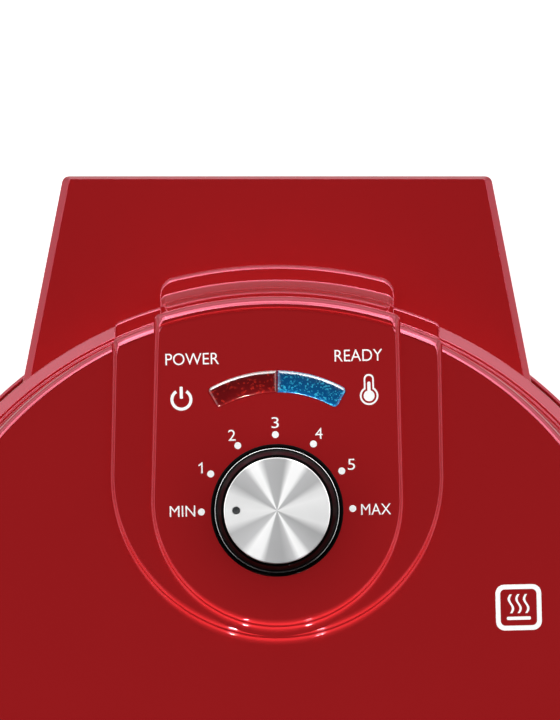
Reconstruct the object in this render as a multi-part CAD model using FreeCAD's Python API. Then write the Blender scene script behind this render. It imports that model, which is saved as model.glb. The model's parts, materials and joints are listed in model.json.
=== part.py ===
import FreeCAD, Part
import math
import os

from FreeCAD import Vector

# Round electric waffle iron: a hinged lid with a thermostat dial over a base, two cast waffle plates,
# two heaters. Millimetres. The model is drawn about the plates' common centre and shifted at export,
# so that the origin is the middle of the whole footprint, on the surface that the feet stand on.
# +Z is up, +Y is the hinge side, -Y is the handle side.

# Driving dimensions
BASE_RADIUS = 113.4
LID_RADIUS = 111.8
HINGE_REACH = 144.0
HANDLE_REACH = 164.0
PLATE_SHIFT_Y = (HANDLE_REACH - HINGE_REACH) / 2.0
WALL = 2.6
PARTING_Z = 45.0
PARTING_GAP = 0.4

# Base
BASE_FLOOR_Z = 5.0
BASE_BOTTOM_RADIUS = 99.0
BASE_BELLY_Z = 27.0
BASE_TOP_Z = PARTING_Z - PARTING_GAP
PLATE_SEAT_Z = 41.0
SEAT_INNER_RADIUS = 98.0
BASE_REAR_Y = 138.0
BASE_REAR_HALF_WIDTH = 57.0
COVER_RADIUS = 92.0
FOOT_RADIUS = 9.0
FOOT_HEIGHT = 5.0
REAR_FOOT = (43.0, 124.0)
FRONT_FOOT = (44.0, -62.0)
POST_CIRCLE = 84.0
POST_RADIUS = 4.5
POST_HEIGHT = 15.0
FOOT_STEM_RADIUS = 3.0
FOOT_STEM_FIT = 0.05
AIR_SLOT_PITCH = 9.0
AIR_SLOT_HALF = 1.5
AIR_SLOT_SPAN = (4.0, 24.0)
SCREW_RADIUS = 1.5
SCREW_FIT = 0.05
SCREW_CLEARANCE = 0.3
SCREW_HEAD_RADIUS = 3.0
SCREW_HEAD = 1.8
COVER_SCREW_HEAD_RADIUS = 2.9
COVER_SCREW_SINK = 1.2

# Lid
LID_BOTTOM_Z = PARTING_Z + PARTING_GAP
RIM_CHAMFER = 2.8
RIM_TOP_Z = 65.6
HINGE_COVER_TOP_Z = 62.0
HINGE_COVER_HALF_BACK = 59.1
HINGE_COVER_HALF_FRONT = 69.9
HINGE_COVER_FRONT_Y = 89.4
LID_TOP_Z = 86.0
TOP_FLAT_RADIUS = 102.6
TOP_FLAT_SHIFT_Y = 5.0
TOP_EDGE_FILLET = 2.4
COVER_EDGE_FILLET = 1.0
STEP_HEIGHT = 1.8
STEP_HALF_WIDTH = 45.2
STEP_ARC_Y = 61.3
STEP_WRAP_RADIUS = 112.5
STEP_LEDGE_Z = HINGE_COVER_TOP_Z + 4.6
STEP_WALL_RADIUS = 108.6
PANEL_HALF_WIDTH = 34.1
PANEL_ARC_Y = 54.6
TAB_HALF_WIDTH = 32.4
TAB_RADIUS = 119.5
TAB_LEDGE_Z = HINGE_COVER_TOP_Z + 4.0
PANEL_EDGE_FILLET = 1.2
PANEL_SCREWS = [(-24.0, 40.0), (24.0, 40.0), (-27.0, 90.0), (27.0, 90.0)]
STEP_TOP_Z = LID_TOP_Z + STEP_HEIGHT
PANEL_TOP_Z = STEP_TOP_Z + STEP_HEIGHT

# Dial, lamp windows and thermostat
DIAL_Y = 51.9
DIAL_RADIUS = 18.25
DIAL_RING_RADIUS = 17.15
DIAL_CAP_RADIUS = 14.6
DIAL_GAP = 0.5
DIAL_BOTTOM_Z = PANEL_TOP_Z + DIAL_GAP
DIAL_SKIRT_Z = DIAL_BOTTOM_Z + 2.6
DIAL_TOP_Z = DIAL_BOTTOM_Z + 14.0
DIMPLE_RADIUS = 1.15
DIMPLE_REACH = 11.2
DIAL_CAP_DEPTH = 1.4
DIAL_RING_WIDTH = 0.5
SHAFT_RADIUS = 3.0
SHAFT_LENGTH_ABOVE = 9.0
SHAFT_FLAT_X = 1.8
LENS_INNER_RADIUS = 32.4
LENS_OUTER_RADIUS = 38.5
LENS_HALF_ANGLE = 30.0
LENS_SPLIT = 0.4
LENS_CROWN_Z = PANEL_TOP_Z + 0.8
LENS_EDGE_FILLET = 0.9
SLOT_CLEARANCE = 0.2
LAMP_CIRCLE = 35.5
LAMP_RADIUS = 2.5
LAMP_ANGLE = 15.0
LAMP_FLOOR_Z = 76.6
LAMP_DOME_Z = 80.2
THERMOSTAT_RADIUS = 13.0
THERMOSTAT_SPAN_Z = (68.0, 78.0)
THERMOSTAT_NECK_RADIUS = 4.2
BRACKET_HALF_LENGTH = 19.0
BRACKET_HALF_WIDTH = 7.0
BRACKET_SHEET = 1.2
SENSOR_Y = 34.0
SENSOR_Z = 59.6
SENSOR_RADIUS = 2.4

# Hinge
HINGE_Y = 131.0
HINGE_Z = 46.0
HINGE_SWEEP = 21.6
EAR_RADIUS = 9.0
EAR_SPAN = (25.0, 35.0)
EAR_WEB_Y = (116.0, 125.0)
LUG_SPAN = (36.0, 46.0)
PIN_RADIUS = 3.0
PIN_FIT = 0.05
PIN_SPAN = (22.0, 47.5)
PIN_HEAD = 1.6
CONDUIT_RADIUS = 3.6
CONDUIT_BORE = 2.6

# Waffle plates, heaters and heat shields
PLATE_FLANGE_RADIUS = 107.5
PLATE_FLANGE_TOP_Z = PLATE_SEAT_Z + 2.8
PLATE_CAVITY_RADIUS = 90.0
PLATE_WALL_RADIUS = 94.0
PLATE_FLOOR_Z = 36.0
PLATE_UNDER_Z = 33.0
GRID_TOP_Z = 42.0
GRID_PITCH = 18.0
GRID_RIB = 4.6
GRID_LINES = 4
GRID_TAPER = 0.55
CROSS_RIB = 8.0
HEATER_CIRCLE = 62.0
HEATER_TUBE_RADIUS = 3.2
HEATER_PIN_RADIUS = 1.2
HEATER_GAP_DEGREES = 16.0
HEATER_END = 20.0
HEATER_PIN = 5.0
SHIELD_RADIUS = 93.0
SHIELD_Z = 23.0
SHIELD_SHEET = 0.8
PLATE_BOSS_CIRCLE = 78.0
PLATE_BOSS_RADIUS = 4.0
PLATE_BOSSES = 3

# Handles
HANDLE_HALF_ROOT = 30.0
HANDLE_HALF_TIP = 23.0
HANDLE_ROOT_Y = -96.0
HANDLE_CORNER = 9.0
HANDLE_EDGE = 3.0
UPPER_HANDLE_Z = (48.4, 64.0)
LOWER_HANDLE_Z = (27.0, 43.0)
LOWER_HANDLE_SETBACK = 8.0

# Cord inlet
INLET_X = 26.0
INLET_Z = 15.0
INLET_BORE = 3.7
INLET_SLEEVE = 6.2
INLET_FLANGE = 8.0
INLET_LENGTH = 8.0
INLET_FLANGE_DEPTH = 2.0

# Wiring parts in the base
TERMINAL_LOW = (-22.0, 116.0)
TERMINAL_HIGH = (10.0, 128.0)
TERMINAL_HEIGHT = 9.0
TERMINAL_WELLS_X = (-17.0, -6.5, 4.0)
FUSE_Y = 100.0
FUSE_Z = 28.0


def block(low, high):
    size = Vector(*high) - Vector(*low)
    return Part.makeBox(size.x, size.y, size.z, Vector(*low))


def disc(radius, low_z, high_z, x=0.0, y=0.0):
    return Part.makeCylinder(radius, high_z - low_z, Vector(x, y, low_z))


def ring(outer, inner, low_z, high_z, x=0.0, y=0.0):
    return disc(outer, low_z, high_z, x, y).cut(disc(inner, low_z - 1.0, high_z + 1.0, x, y))


def rod_x(radius, low_x, high_x, y, z):
    return Part.makeCylinder(radius, high_x - low_x, Vector(low_x, y, z), Vector(1, 0, 0))


def rod_y(radius, low_y, high_y, x, z):
    return Part.makeCylinder(radius, high_y - low_y, Vector(x, low_y, z), Vector(0, 1, 0))


def turned(profile, y=0.0):
    """Solid of revolution about a vertical axis at (0, y) from (radius, height) points."""
    points = [Vector(radius, 0, height) for radius, height in profile]
    face = Part.Face(Part.makePolygon(points + [points[0]]))
    solid = face.revolve(Vector(0, 0, 0), Vector(0, 0, 1), 360)
    solid.translate(Vector(0, y, 0))
    return solid


def prism(outline, low_z, high_z):
    """Upright prism on an outline of (x, y) points."""
    points = [Vector(x, y, low_z) for x, y in outline]
    face = Part.Face(Part.makePolygon(points + [points[0]]))
    return face.extrude(Vector(0, 0, high_z - low_z))


def u_prism(half_width, arc_y, back_y, low_z, high_z):
    """Upright prism with straight sides towards the back and a half-round front."""
    left_back = Vector(-half_width, back_y, low_z)
    left_front = Vector(-half_width, arc_y, low_z)
    nose = Vector(0, arc_y - half_width, low_z)
    right_front = Vector(half_width, arc_y, low_z)
    right_back = Vector(half_width, back_y, low_z)
    edges = [
        Part.LineSegment(left_back, left_front).toShape(),
        Part.Arc(left_front, nose, right_front).toShape(),
        Part.LineSegment(right_front, right_back).toShape(),
        Part.LineSegment(right_back, left_back).toShape(),
    ]
    return Part.Face(Part.Wire(edges)).extrude(Vector(0, 0, high_z - low_z))


def sector(outer, inner, angle_from, angle_to, low_z, high_z):
    """Part of a ring about the dial, angles in degrees clockwise from the hinge side."""
    def on_circle(radius, angle):
        turn = math.radians(angle)
        return Vector(radius * math.sin(turn), DIAL_Y + radius * math.cos(turn), low_z)

    middle = (angle_from + angle_to) / 2.0
    edges = [
        Part.Arc(
            on_circle(outer, angle_from), on_circle(outer, middle), on_circle(outer, angle_to)
        ).toShape(),
        Part.LineSegment(on_circle(outer, angle_to), on_circle(inner, angle_to)).toShape(),
        Part.Arc(
            on_circle(inner, angle_to), on_circle(inner, middle), on_circle(inner, angle_from)
        ).toShape(),
        Part.LineSegment(on_circle(inner, angle_from), on_circle(outer, angle_from)).toShape(),
    ]
    return Part.Face(Part.Wire(edges)).extrude(Vector(0, 0, high_z - low_z))


def leaning_cone(low_radius, low_z, high_radius, high_z, shift_y):
    """Solid between a centred circle and a smaller one that is set towards the hinge."""
    low = Part.Wire(Part.makeCircle(low_radius, Vector(0, 0, low_z)))
    high = Part.Wire(Part.makeCircle(high_radius, Vector(0, shift_y, high_z)))
    return Part.makeLoft([low, high], True, True)


def edges_at(shape, test):
    return [edge for edge in shape.Edges if test(edge)]


def flat_edges(shape, height):
    """Edges that lie wholly at one height."""
    def is_flat(edge):
        low = abs(edge.BoundBox.ZMin - height)
        high = abs(edge.BoundBox.ZMax - height)
        return max(low, high) < 1e-4

    return edges_at(shape, is_flat)


def around(count, radius, start_degrees=0.0):
    """Evenly spaced places on a circle about the plates' centre."""
    for index in range(count):
        turn = math.radians(start_degrees + 360.0 * index / count)
        yield radius * math.cos(turn), radius * math.sin(turn)


def both_sides(shape):
    """The shape and its mirror image across the middle, as separate solids."""
    return Part.makeCompound([shape, shape.mirror(Vector(0, 0, 0), Vector(1, 0, 0))])


def flipped(shape):
    """The same piece turned over into the lid, by mirroring it in the parting plane."""
    return shape.mirror(Vector(0, 0, PARTING_Z), Vector(0, 0, 1))


def hinge_outline(half_front, half_back, back_y):
    """Plan of the tapering block behind the round body, run well inside the round."""
    slope = (half_front - half_back) / (back_y - HINGE_COVER_FRONT_Y)
    inside_y = 60.0
    half_inside = half_front + slope * (HINGE_COVER_FRONT_Y - inside_y)
    return [(-half_back, back_y), (half_back, back_y), (half_inside, inside_y), (-half_inside, inside_y)]


# Lid ---------------------------------------------------------------------------------------------


def hinge_cover_solid(inset=0.0, low_z=LID_BOTTOM_Z, high_z=HINGE_COVER_TOP_Z):
    half_front = HINGE_COVER_HALF_FRONT - inset
    half_back = HINGE_COVER_HALF_BACK - inset
    return prism(hinge_outline(half_front, half_back, HINGE_REACH - inset), low_z, high_z)


def step_solid():
    """Raised U around the control panel, its back end stepped down over the rear wall."""
    outline = u_prism(STEP_HALF_WIDTH, STEP_ARC_Y, 125.0, HINGE_COVER_TOP_Z, STEP_TOP_Z)
    wrap = turned([
        (0.0, HINGE_COVER_TOP_Z), (STEP_WRAP_RADIUS, HINGE_COVER_TOP_Z),
        (STEP_WRAP_RADIUS, STEP_LEDGE_Z - 0.8), (STEP_WRAP_RADIUS - 0.8, STEP_LEDGE_Z),
        (STEP_WALL_RADIUS + 0.2, STEP_LEDGE_Z),
        (STEP_WALL_RADIUS, STEP_LEDGE_Z + 0.7), (STEP_WALL_RADIUS - 0.3, STEP_TOP_Z - 1.9),
        (STEP_WALL_RADIUS - 2.0, STEP_TOP_Z), (0.0, STEP_TOP_Z),
    ])
    return outline.common(wrap)


def lid_lumps():
    """The lid's outer form as solid lumps, before they are hollowed and joined."""
    rim = turned([
        (0.0, LID_BOTTOM_Z), (LID_RADIUS, LID_BOTTOM_Z), (LID_RADIUS, RIM_TOP_Z - RIM_CHAMFER),
        (LID_RADIUS - RIM_CHAMFER, RIM_TOP_Z), (0.0, RIM_TOP_Z),
    ])
    dome = leaning_cone(LID_RADIUS - RIM_CHAMFER, RIM_TOP_Z, TOP_FLAT_RADIUS, LID_TOP_Z, TOP_FLAT_SHIFT_Y)
    dome = dome.makeFillet(TOP_EDGE_FILLET, flat_edges(dome, LID_TOP_Z))
    cover = hinge_cover_solid()
    cover = cover.makeFillet(COVER_EDGE_FILLET, flat_edges(cover, HINGE_COVER_TOP_Z))
    return [rim, dome, cover, step_solid()]


def lid_hollow():
    """Spaces inside the lid shell, open downwards."""
    skirt = disc(LID_RADIUS - WALL, LID_BOTTOM_Z - 1.0, HINGE_COVER_TOP_Z - WALL)
    dome = Part.makeCone(
        LID_RADIUS - 3.0 * WALL, TOP_FLAT_RADIUS - 1.5 * WALL, LID_TOP_Z - HINGE_COVER_TOP_Z + 1.0,
        Vector(0, TOP_FLAT_SHIFT_Y - 1.0, HINGE_COVER_TOP_Z - WALL - 1.0),
    )
    cover = hinge_cover_solid(WALL, LID_BOTTOM_Z - 1.0, HINGE_COVER_TOP_Z - WALL)
    return [skirt, dome, cover]


def hinge_plate(span, height_from, height_to, y_from, y_to):
    """One cheek of the hinge: a disc about the hinge axis and the web that carries it."""
    cheek = rod_x(EAR_RADIUS, span[0], span[1], HINGE_Y, HINGE_Z)
    web = block((span[0], y_from, height_from), (span[1], y_to, height_to))
    hole = rod_x(PIN_RADIUS + PIN_FIT, span[0] - 1.0, span[1] + 1.0, HINGE_Y, HINGE_Z)
    return cheek.fuse(web).cut(hole)


def lid_shell():
    walls = []
    for lump in lid_lumps():
        for space in lid_hollow():
            lump = lump.cut(space)
        walls.append(lump)
    seat = flipped(ring(LID_RADIUS - WALL + 0.5, SEAT_INNER_RADIUS, PLATE_SEAT_Z - WALL, PLATE_SEAT_Z))
    shell = walls[0].fuse(walls[1:] + [seat])
    lug = hinge_plate(
        LUG_SPAN, HINGE_Z, HINGE_COVER_TOP_Z - WALL, HINGE_Y - EAR_RADIUS, HINGE_Y + EAR_RADIUS
    )
    openings = [
        disc(SHAFT_RADIUS + 1.5, LID_TOP_Z - 2.0 * WALL, PANEL_TOP_Z, 0.0, DIAL_Y),
        lens_space(LID_TOP_Z - 2.0 * WALL),
    ]
    for x, y in PANEL_SCREWS:
        openings.append(disc(SCREW_RADIUS + 0.2, LID_TOP_Z - 2.0 * WALL, PANEL_TOP_Z, x, y))
    return shell.fuse([lug, lug.mirror(Vector(0, 0, 0), Vector(1, 0, 0))]).cut(openings)


def control_panel():
    """Inner raised U with a tab that runs down over the hinge cover."""
    back_y = 106.0
    front = u_prism(PANEL_HALF_WIDTH, PANEL_ARC_Y, back_y, STEP_TOP_Z, PANEL_TOP_Z)
    crest = [edge for edge in flat_edges(front, PANEL_TOP_Z) if edge.BoundBox.YMin < back_y - 0.1]
    front = front.makeFillet(PANEL_EDGE_FILLET, crest)
    slope = turned([
        (104.0, HINGE_COVER_TOP_Z), (TAB_RADIUS, HINGE_COVER_TOP_Z), (TAB_RADIUS, TAB_LEDGE_Z - 1.0),
        (TAB_RADIUS - 1.0, TAB_LEDGE_Z), (115.6, TAB_LEDGE_Z), (113.6, TAB_LEDGE_Z + 1.6),
        (112.8, TAB_LEDGE_Z + 4.0), (110.6, 86.2), (109.8, 88.6), (107.6, PANEL_TOP_Z), (104.0, PANEL_TOP_Z),
    ])
    slab = block((-TAB_HALF_WIDTH, 90.0, HINGE_COVER_TOP_Z), (TAB_HALF_WIDTH, 125.0, PANEL_TOP_Z))
    tab = slope.common(slab)
    panel = front.fuse(tab)
    for lump in lid_lumps():
        panel = panel.cut(lump)
    panel = panel.cut([
        disc(SHAFT_RADIUS + 1.0, STEP_TOP_Z - 1.0, PANEL_TOP_Z + 1.0, 0.0, DIAL_Y),
        lens_space(STEP_TOP_Z - 1.0),
    ])
    for x, y in PANEL_SCREWS:
        panel = panel.cut(disc(SCREW_RADIUS + SCREW_FIT, STEP_TOP_Z - 1.0, PANEL_TOP_Z - 0.6, x, y))
    return panel


def lens_space(low_z):
    extra = math.degrees(SLOT_CLEARANCE / LENS_INNER_RADIUS)
    return sector(
        LENS_OUTER_RADIUS + SLOT_CLEARANCE, LENS_INNER_RADIUS - SLOT_CLEARANCE,
        -LENS_HALF_ANGLE - extra, LENS_HALF_ANGLE + extra, low_z, LENS_CROWN_Z,
    )


def lens(side):
    """Crowned window over one indicator lamp; side is -1 for power, 1 for ready."""
    split = math.degrees(LENS_SPLIT / 2.0 / LENS_OUTER_RADIUS)
    angles = sorted([side * split, side * LENS_HALF_ANGLE])
    low_z = LID_TOP_Z - WALL + 0.2
    window = sector(LENS_OUTER_RADIUS, LENS_INNER_RADIUS, angles[0], angles[1], low_z, LENS_CROWN_Z)
    return window.makeFillet(LENS_EDGE_FILLET, flat_edges(window, LENS_CROWN_Z))


def lamp_holder():
    """Tray under the windows with a pocket for each lamp."""
    tray = sector(42.0, 29.0, -33.0, 33.0, 75.0, LID_TOP_Z - WALL)
    for side in (-1.0, 1.0):
        angles = sorted([side * 1.2, side * 30.0])
        tray = tray.cut(sector(40.0, 31.0, angles[0], angles[1], LAMP_FLOOR_Z, LID_TOP_Z))
    return tray


def lamp(side):
    """Indicator lamp body lying in its pocket, with its rounded end."""
    turn = math.radians(side * LAMP_ANGLE)
    x = LAMP_CIRCLE * math.sin(turn)
    y = DIAL_Y + LAMP_CIRCLE * math.cos(turn)
    body = disc(LAMP_RADIUS, LAMP_FLOOR_Z, LAMP_DOME_Z, x, y)
    dome = Part.makeSphere(LAMP_RADIUS, Vector(x, y, LAMP_DOME_Z))
    flange = disc(LAMP_RADIUS + 0.4, LAMP_FLOOR_Z, LAMP_FLOOR_Z + 1.0, x, y)
    return body.fuse([dome, flange]).removeSplitter()


def thermostat_body():
    low_z, high_z = THERMOSTAT_SPAN_Z
    can = disc(THERMOSTAT_RADIUS, low_z, high_z, 0.0, DIAL_Y)
    neck = disc(THERMOSTAT_NECK_RADIUS, high_z, high_z + 2.4, 0.0, DIAL_Y)
    terminals = []
    for x in (-6.0, 6.0):
        terminals.append(block((x - 2.4, DIAL_Y + 12.0, low_z + 2.0), (x + 2.4, DIAL_Y + 20.0, low_z + 2.8)))
    bore = disc(SHAFT_RADIUS + PIN_FIT, low_z - 1.0, high_z + 3.0, 0.0, DIAL_Y)
    return can.fuse([neck] + terminals).cut(bore)


def thermostat_bracket():
    """Strap that hangs the thermostat under the panel."""
    low_z = THERMOSTAT_SPAN_Z[1]
    strap_top = low_z + BRACKET_SHEET
    front_y = DIAL_Y - BRACKET_HALF_WIDTH
    back_y = DIAL_Y + BRACKET_HALF_WIDTH
    strap = block((-BRACKET_HALF_LENGTH, front_y, low_z), (BRACKET_HALF_LENGTH, back_y, strap_top))
    leg_x = BRACKET_HALF_LENGTH - BRACKET_SHEET / 2.0
    legs = []
    for x in (-leg_x, leg_x):
        low = (x - BRACKET_SHEET / 2.0, front_y, strap_top)
        legs.append(block(low, (x + BRACKET_SHEET / 2.0, back_y, LID_TOP_Z - WALL)))
    hole = disc(THERMOSTAT_NECK_RADIUS + 0.2, low_z - 1.0, strap_top + 1.0, 0.0, DIAL_Y)
    return strap.fuse(legs).cut(hole)


def shaft_flat():
    """Space beside the flat that keys the knob to its shaft."""
    top_z = DIAL_BOTTOM_Z + SHAFT_LENGTH_ABOVE + 0.5
    return block((SHAFT_FLAT_X, DIAL_Y - 4.0, DIAL_BOTTOM_Z), (SHAFT_RADIUS + 1.0, DIAL_Y + 4.0, top_z))


def thermostat_shaft():
    low_z = THERMOSTAT_SPAN_Z[0] + 0.6
    shaft = disc(SHAFT_RADIUS, low_z, DIAL_BOTTOM_Z + SHAFT_LENGTH_ABOVE, 0.0, DIAL_Y)
    return shaft.cut(shaft_flat())


def thermostat_sensor():
    """Sensing bulb clipped on the back of the upper plate, with its thin tube."""
    bulb = rod_x(SENSOR_RADIUS, -16.0, 16.0, SENSOR_Y, SENSOR_Z)
    tube = Part.makeCylinder(0.9, 4.0, Vector(0, SENSOR_Y, SENSOR_Z + 1.8))
    return bulb.fuse(tube)


def dial_body():
    """Knob turned about the thermostat's axis: a skirt, a ring seat and a drafted grip."""
    seat_z = DIAL_TOP_Z - DIAL_CAP_DEPTH
    ring_inner = DIAL_RING_RADIUS - DIAL_RING_WIDTH
    knob = turned([
        (0.0, DIAL_BOTTOM_Z), (DIAL_RADIUS, DIAL_BOTTOM_Z), (DIAL_RADIUS, DIAL_SKIRT_Z - 0.8),
        (DIAL_RADIUS - 0.8, DIAL_SKIRT_Z), (DIAL_RING_RADIUS, DIAL_SKIRT_Z),
        (DIAL_RING_RADIUS, DIAL_SKIRT_Z - 0.6), (ring_inner, DIAL_SKIRT_Z - 0.6),
        (ring_inner, DIAL_SKIRT_Z + 0.4), (DIAL_CAP_RADIUS + 0.9, DIAL_TOP_Z - 1.2),
        (DIAL_CAP_RADIUS + 0.3, DIAL_TOP_Z - 0.6), (DIAL_CAP_RADIUS, DIAL_TOP_Z - 0.6),
        (DIAL_CAP_RADIUS, seat_z), (0.0, seat_z),
    ], DIAL_Y)
    socket = disc(SHAFT_RADIUS, DIAL_BOTTOM_Z - 0.5, DIAL_BOTTOM_Z + SHAFT_LENGTH_ABOVE, 0.0, DIAL_Y)
    return knob.cut(socket.cut(shaft_flat()))


def dial_ring():
    low_z = DIAL_SKIRT_Z - 0.6
    return ring(DIAL_RING_RADIUS, DIAL_RING_RADIUS - DIAL_RING_WIDTH, low_z, DIAL_SKIRT_Z + 0.2, 0.0, DIAL_Y)


def dial_cap():
    cap = disc(DIAL_CAP_RADIUS, DIAL_TOP_Z - DIAL_CAP_DEPTH, DIAL_TOP_Z, 0.0, DIAL_Y)
    cap = cap.makeChamfer(0.4, flat_edges(cap, DIAL_TOP_Z))
    dimple_centre = Vector(-DIMPLE_REACH, DIAL_Y, DIAL_TOP_Z + DIMPLE_RADIUS * 0.5)
    return cap.cut(Part.makeSphere(DIMPLE_RADIUS * 1.25, dimple_centre))


# Plates and heaters, drawn for the base and turned over for the lid ------------------------------


def grid_ribs():
    """Crossing ribs that mould the waffle's pockets, with a wider cross between its quarters."""
    ribs = []
    offsets = [0.0]
    for line in range(1, GRID_LINES + 1):
        offsets += [-GRID_PITCH * line, GRID_PITCH * line]
    for offset in offsets:
        half = CROSS_RIB / 2.0 if offset == 0.0 else GRID_RIB / 2.0
        profile = [
            Vector(offset - half, -PLATE_CAVITY_RADIUS, PLATE_FLOOR_Z - 1.0),
            Vector(offset + half, -PLATE_CAVITY_RADIUS, PLATE_FLOOR_Z - 1.0),
            Vector(offset + half * GRID_TAPER, -PLATE_CAVITY_RADIUS, GRID_TOP_Z),
            Vector(offset - half * GRID_TAPER, -PLATE_CAVITY_RADIUS, GRID_TOP_Z),
        ]
        face = Part.Face(Part.makePolygon(profile + [profile[0]]))
        rib = face.extrude(Vector(0, 2.0 * PLATE_CAVITY_RADIUS, 0))
        ribs.append(rib)
        ribs.append(rib.rotated(Vector(0, 0, 0), Vector(0, 0, 1), 90))
    first = ribs[0].fuse(ribs[1:])
    return first.common(disc(PLATE_CAVITY_RADIUS + 1.0, PLATE_FLOOR_Z - 2.0, PLATE_FLANGE_TOP_Z))


def plate_boss_places():
    return list(around(PLATE_BOSSES, PLATE_BOSS_CIRCLE, 90.0))


def waffle_plate():
    dish = turned([
        (0.0, PLATE_UNDER_Z), (PLATE_WALL_RADIUS - 2.0, PLATE_UNDER_Z),
        (PLATE_WALL_RADIUS, PLATE_UNDER_Z + 3.0), (PLATE_WALL_RADIUS + 0.4, PLATE_SEAT_Z),
        (PLATE_FLANGE_RADIUS, PLATE_SEAT_Z),
        (PLATE_FLANGE_RADIUS, PLATE_FLANGE_TOP_Z), (PLATE_CAVITY_RADIUS + 1.6, PLATE_FLANGE_TOP_Z),
        (PLATE_CAVITY_RADIUS, PLATE_FLOOR_Z), (0.0, PLATE_FLOOR_Z),
    ])
    bosses = []
    holes = []
    for x, y in plate_boss_places():
        bosses.append(disc(PLATE_BOSS_RADIUS, SHIELD_Z + SHIELD_SHEET, PLATE_UNDER_Z + 0.5, x, y))
        holes.append(disc(SCREW_RADIUS + SCREW_FIT, SHIELD_Z, PLATE_UNDER_Z - 1.0, x, y))
    return dish.fuse([grid_ribs()] + bosses).cut(holes).removeSplitter()


def plate_screws():
    screws = []
    for x, y in plate_boss_places():
        shank = disc(SCREW_RADIUS, SHIELD_Z, PLATE_UNDER_Z - 2.0, x, y)
        head = disc(SCREW_HEAD_RADIUS, SHIELD_Z - 2.0, SHIELD_Z, x, y)
        screws.append(shank.fuse(head).removeSplitter())
    return Part.makeCompound(screws)


def heating_element():
    """Tubular heater: an open loop under the plate with two cold ends turned towards the hinge."""
    height = PLATE_UNDER_Z - HEATER_TUBE_RADIUS - 0.1
    centre = Vector(0, 0, height)
    up = Vector(0, 0, 1)
    loop_degrees = 360.0 - 2.0 * HEATER_GAP_DEGREES
    circle = Part.makeTorus(HEATER_CIRCLE, HEATER_TUBE_RADIUS, centre, up, 0, 360, loop_degrees)
    circle.rotate(Vector(0, 0, 0), up, 90.0 + HEATER_GAP_DEGREES)
    turn = math.radians(HEATER_GAP_DEGREES)
    x = HEATER_CIRCLE * math.sin(turn)
    y = HEATER_CIRCLE * math.cos(turn)
    end_y = y + HEATER_END
    ends = []
    for side in (-1.0, 1.0):
        ends.append(Part.makeSphere(HEATER_TUBE_RADIUS, Vector(side * x, y, height)))
        ends.append(rod_y(HEATER_TUBE_RADIUS, y, end_y, side * x, height))
        ends.append(rod_y(HEATER_PIN_RADIUS, end_y, end_y + HEATER_PIN, side * x, height))
    return circle.fuse(ends)


def heat_shield():
    """Shallow pan of bright sheet that throws the heat back at the plate."""
    pan = turned([
        (0.0, SHIELD_Z), (SHIELD_RADIUS - 6.0, SHIELD_Z), (SHIELD_RADIUS, SHIELD_Z + 6.0),
        (SHIELD_RADIUS, SHIELD_Z + 9.0), (SHIELD_RADIUS - SHIELD_SHEET, SHIELD_Z + 9.0),
        (SHIELD_RADIUS - SHIELD_SHEET, SHIELD_Z + 6.3), (SHIELD_RADIUS - 6.3, SHIELD_Z + SHIELD_SHEET),
        (0.0, SHIELD_Z + SHIELD_SHEET),
    ])
    hole_radius = SCREW_RADIUS + SCREW_CLEARANCE
    return pan.cut([disc(hole_radius, SHIELD_Z - 1.0, SHIELD_Z + 2.0, x, y) for x, y in plate_boss_places()])


# Base --------------------------------------------------------------------------------------------


def base_outside():
    bowl = turned([
        (0.0, BASE_FLOOR_Z), (BASE_BOTTOM_RADIUS, BASE_FLOOR_Z),
        (BASE_BOTTOM_RADIUS + 5.5, BASE_FLOOR_Z + 3.0), (BASE_RADIUS - 1.6, BASE_BELLY_Z - 4.0),
        (BASE_RADIUS, BASE_BELLY_Z + 3.0),
        (BASE_RADIUS, BASE_TOP_Z - 1.0), (BASE_RADIUS - 1.0, BASE_TOP_Z), (0.0, BASE_TOP_Z),
    ])
    return bowl.fuse(rear_block(0.0)).removeSplitter()


def rear_block(inset):
    """Block behind the bowl that carries the hinge, cut back where the lid's cover swings down."""
    half_front = HINGE_COVER_HALF_FRONT - 2.0 - inset
    outline = hinge_outline(half_front, BASE_REAR_HALF_WIDTH - inset, BASE_REAR_Y - inset)
    body = prism(outline, BASE_FLOOR_Z + inset, BASE_TOP_Z - inset)
    sweep = HINGE_SWEEP + inset
    wide = 90.0
    far_corner = (wide, HINGE_Y + 40.0, HINGE_Z + 20.0)
    swing = rod_x(sweep, -wide, wide, HINGE_Y, HINGE_Z)
    behind = block((-wide, HINGE_Y - 10.0 - inset, HINGE_Z - sweep), far_corner)
    above = block((-wide, HINGE_Y, HINGE_Z - sweep), far_corner)
    return body.cut([swing.common(behind), above])


def base_hollow():
    mouth = COVER_RADIUS + 0.3
    bowl = turned([
        (0.0, BASE_FLOOR_Z - 1.0), (mouth, BASE_FLOOR_Z - 1.0), (mouth, BASE_FLOOR_Z + WALL),
        (BASE_BOTTOM_RADIUS + 3.5, BASE_FLOOR_Z + 2.0 * WALL),
        (BASE_RADIUS - 1.6 - WALL, BASE_BELLY_Z - 4.0), (BASE_RADIUS - WALL, BASE_BELLY_Z + 3.0),
        (BASE_RADIUS - WALL, PLATE_SEAT_Z - WALL),
        (SEAT_INNER_RADIUS, PLATE_SEAT_Z - WALL), (SEAT_INNER_RADIUS, PLATE_SEAT_Z),
        (BASE_RADIUS - WALL, PLATE_SEAT_Z), (BASE_RADIUS - WALL, BASE_TOP_Z + 1.0), (0.0, BASE_TOP_Z + 1.0),
    ])
    return bowl.fuse(rear_block(WALL).cut(disc(BASE_RADIUS - WALL, 0.0, PLATE_SEAT_Z + 20.0)))


def ear():
    """One hinge ear on a web that stays in front of the swinging cover."""
    return hinge_plate(EAR_SPAN, BASE_FLOOR_Z + 24.0, HINGE_Z, EAR_WEB_Y[0], EAR_WEB_Y[1])


def post_places():
    return list(around(4, POST_CIRCLE, 45.0))


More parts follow.
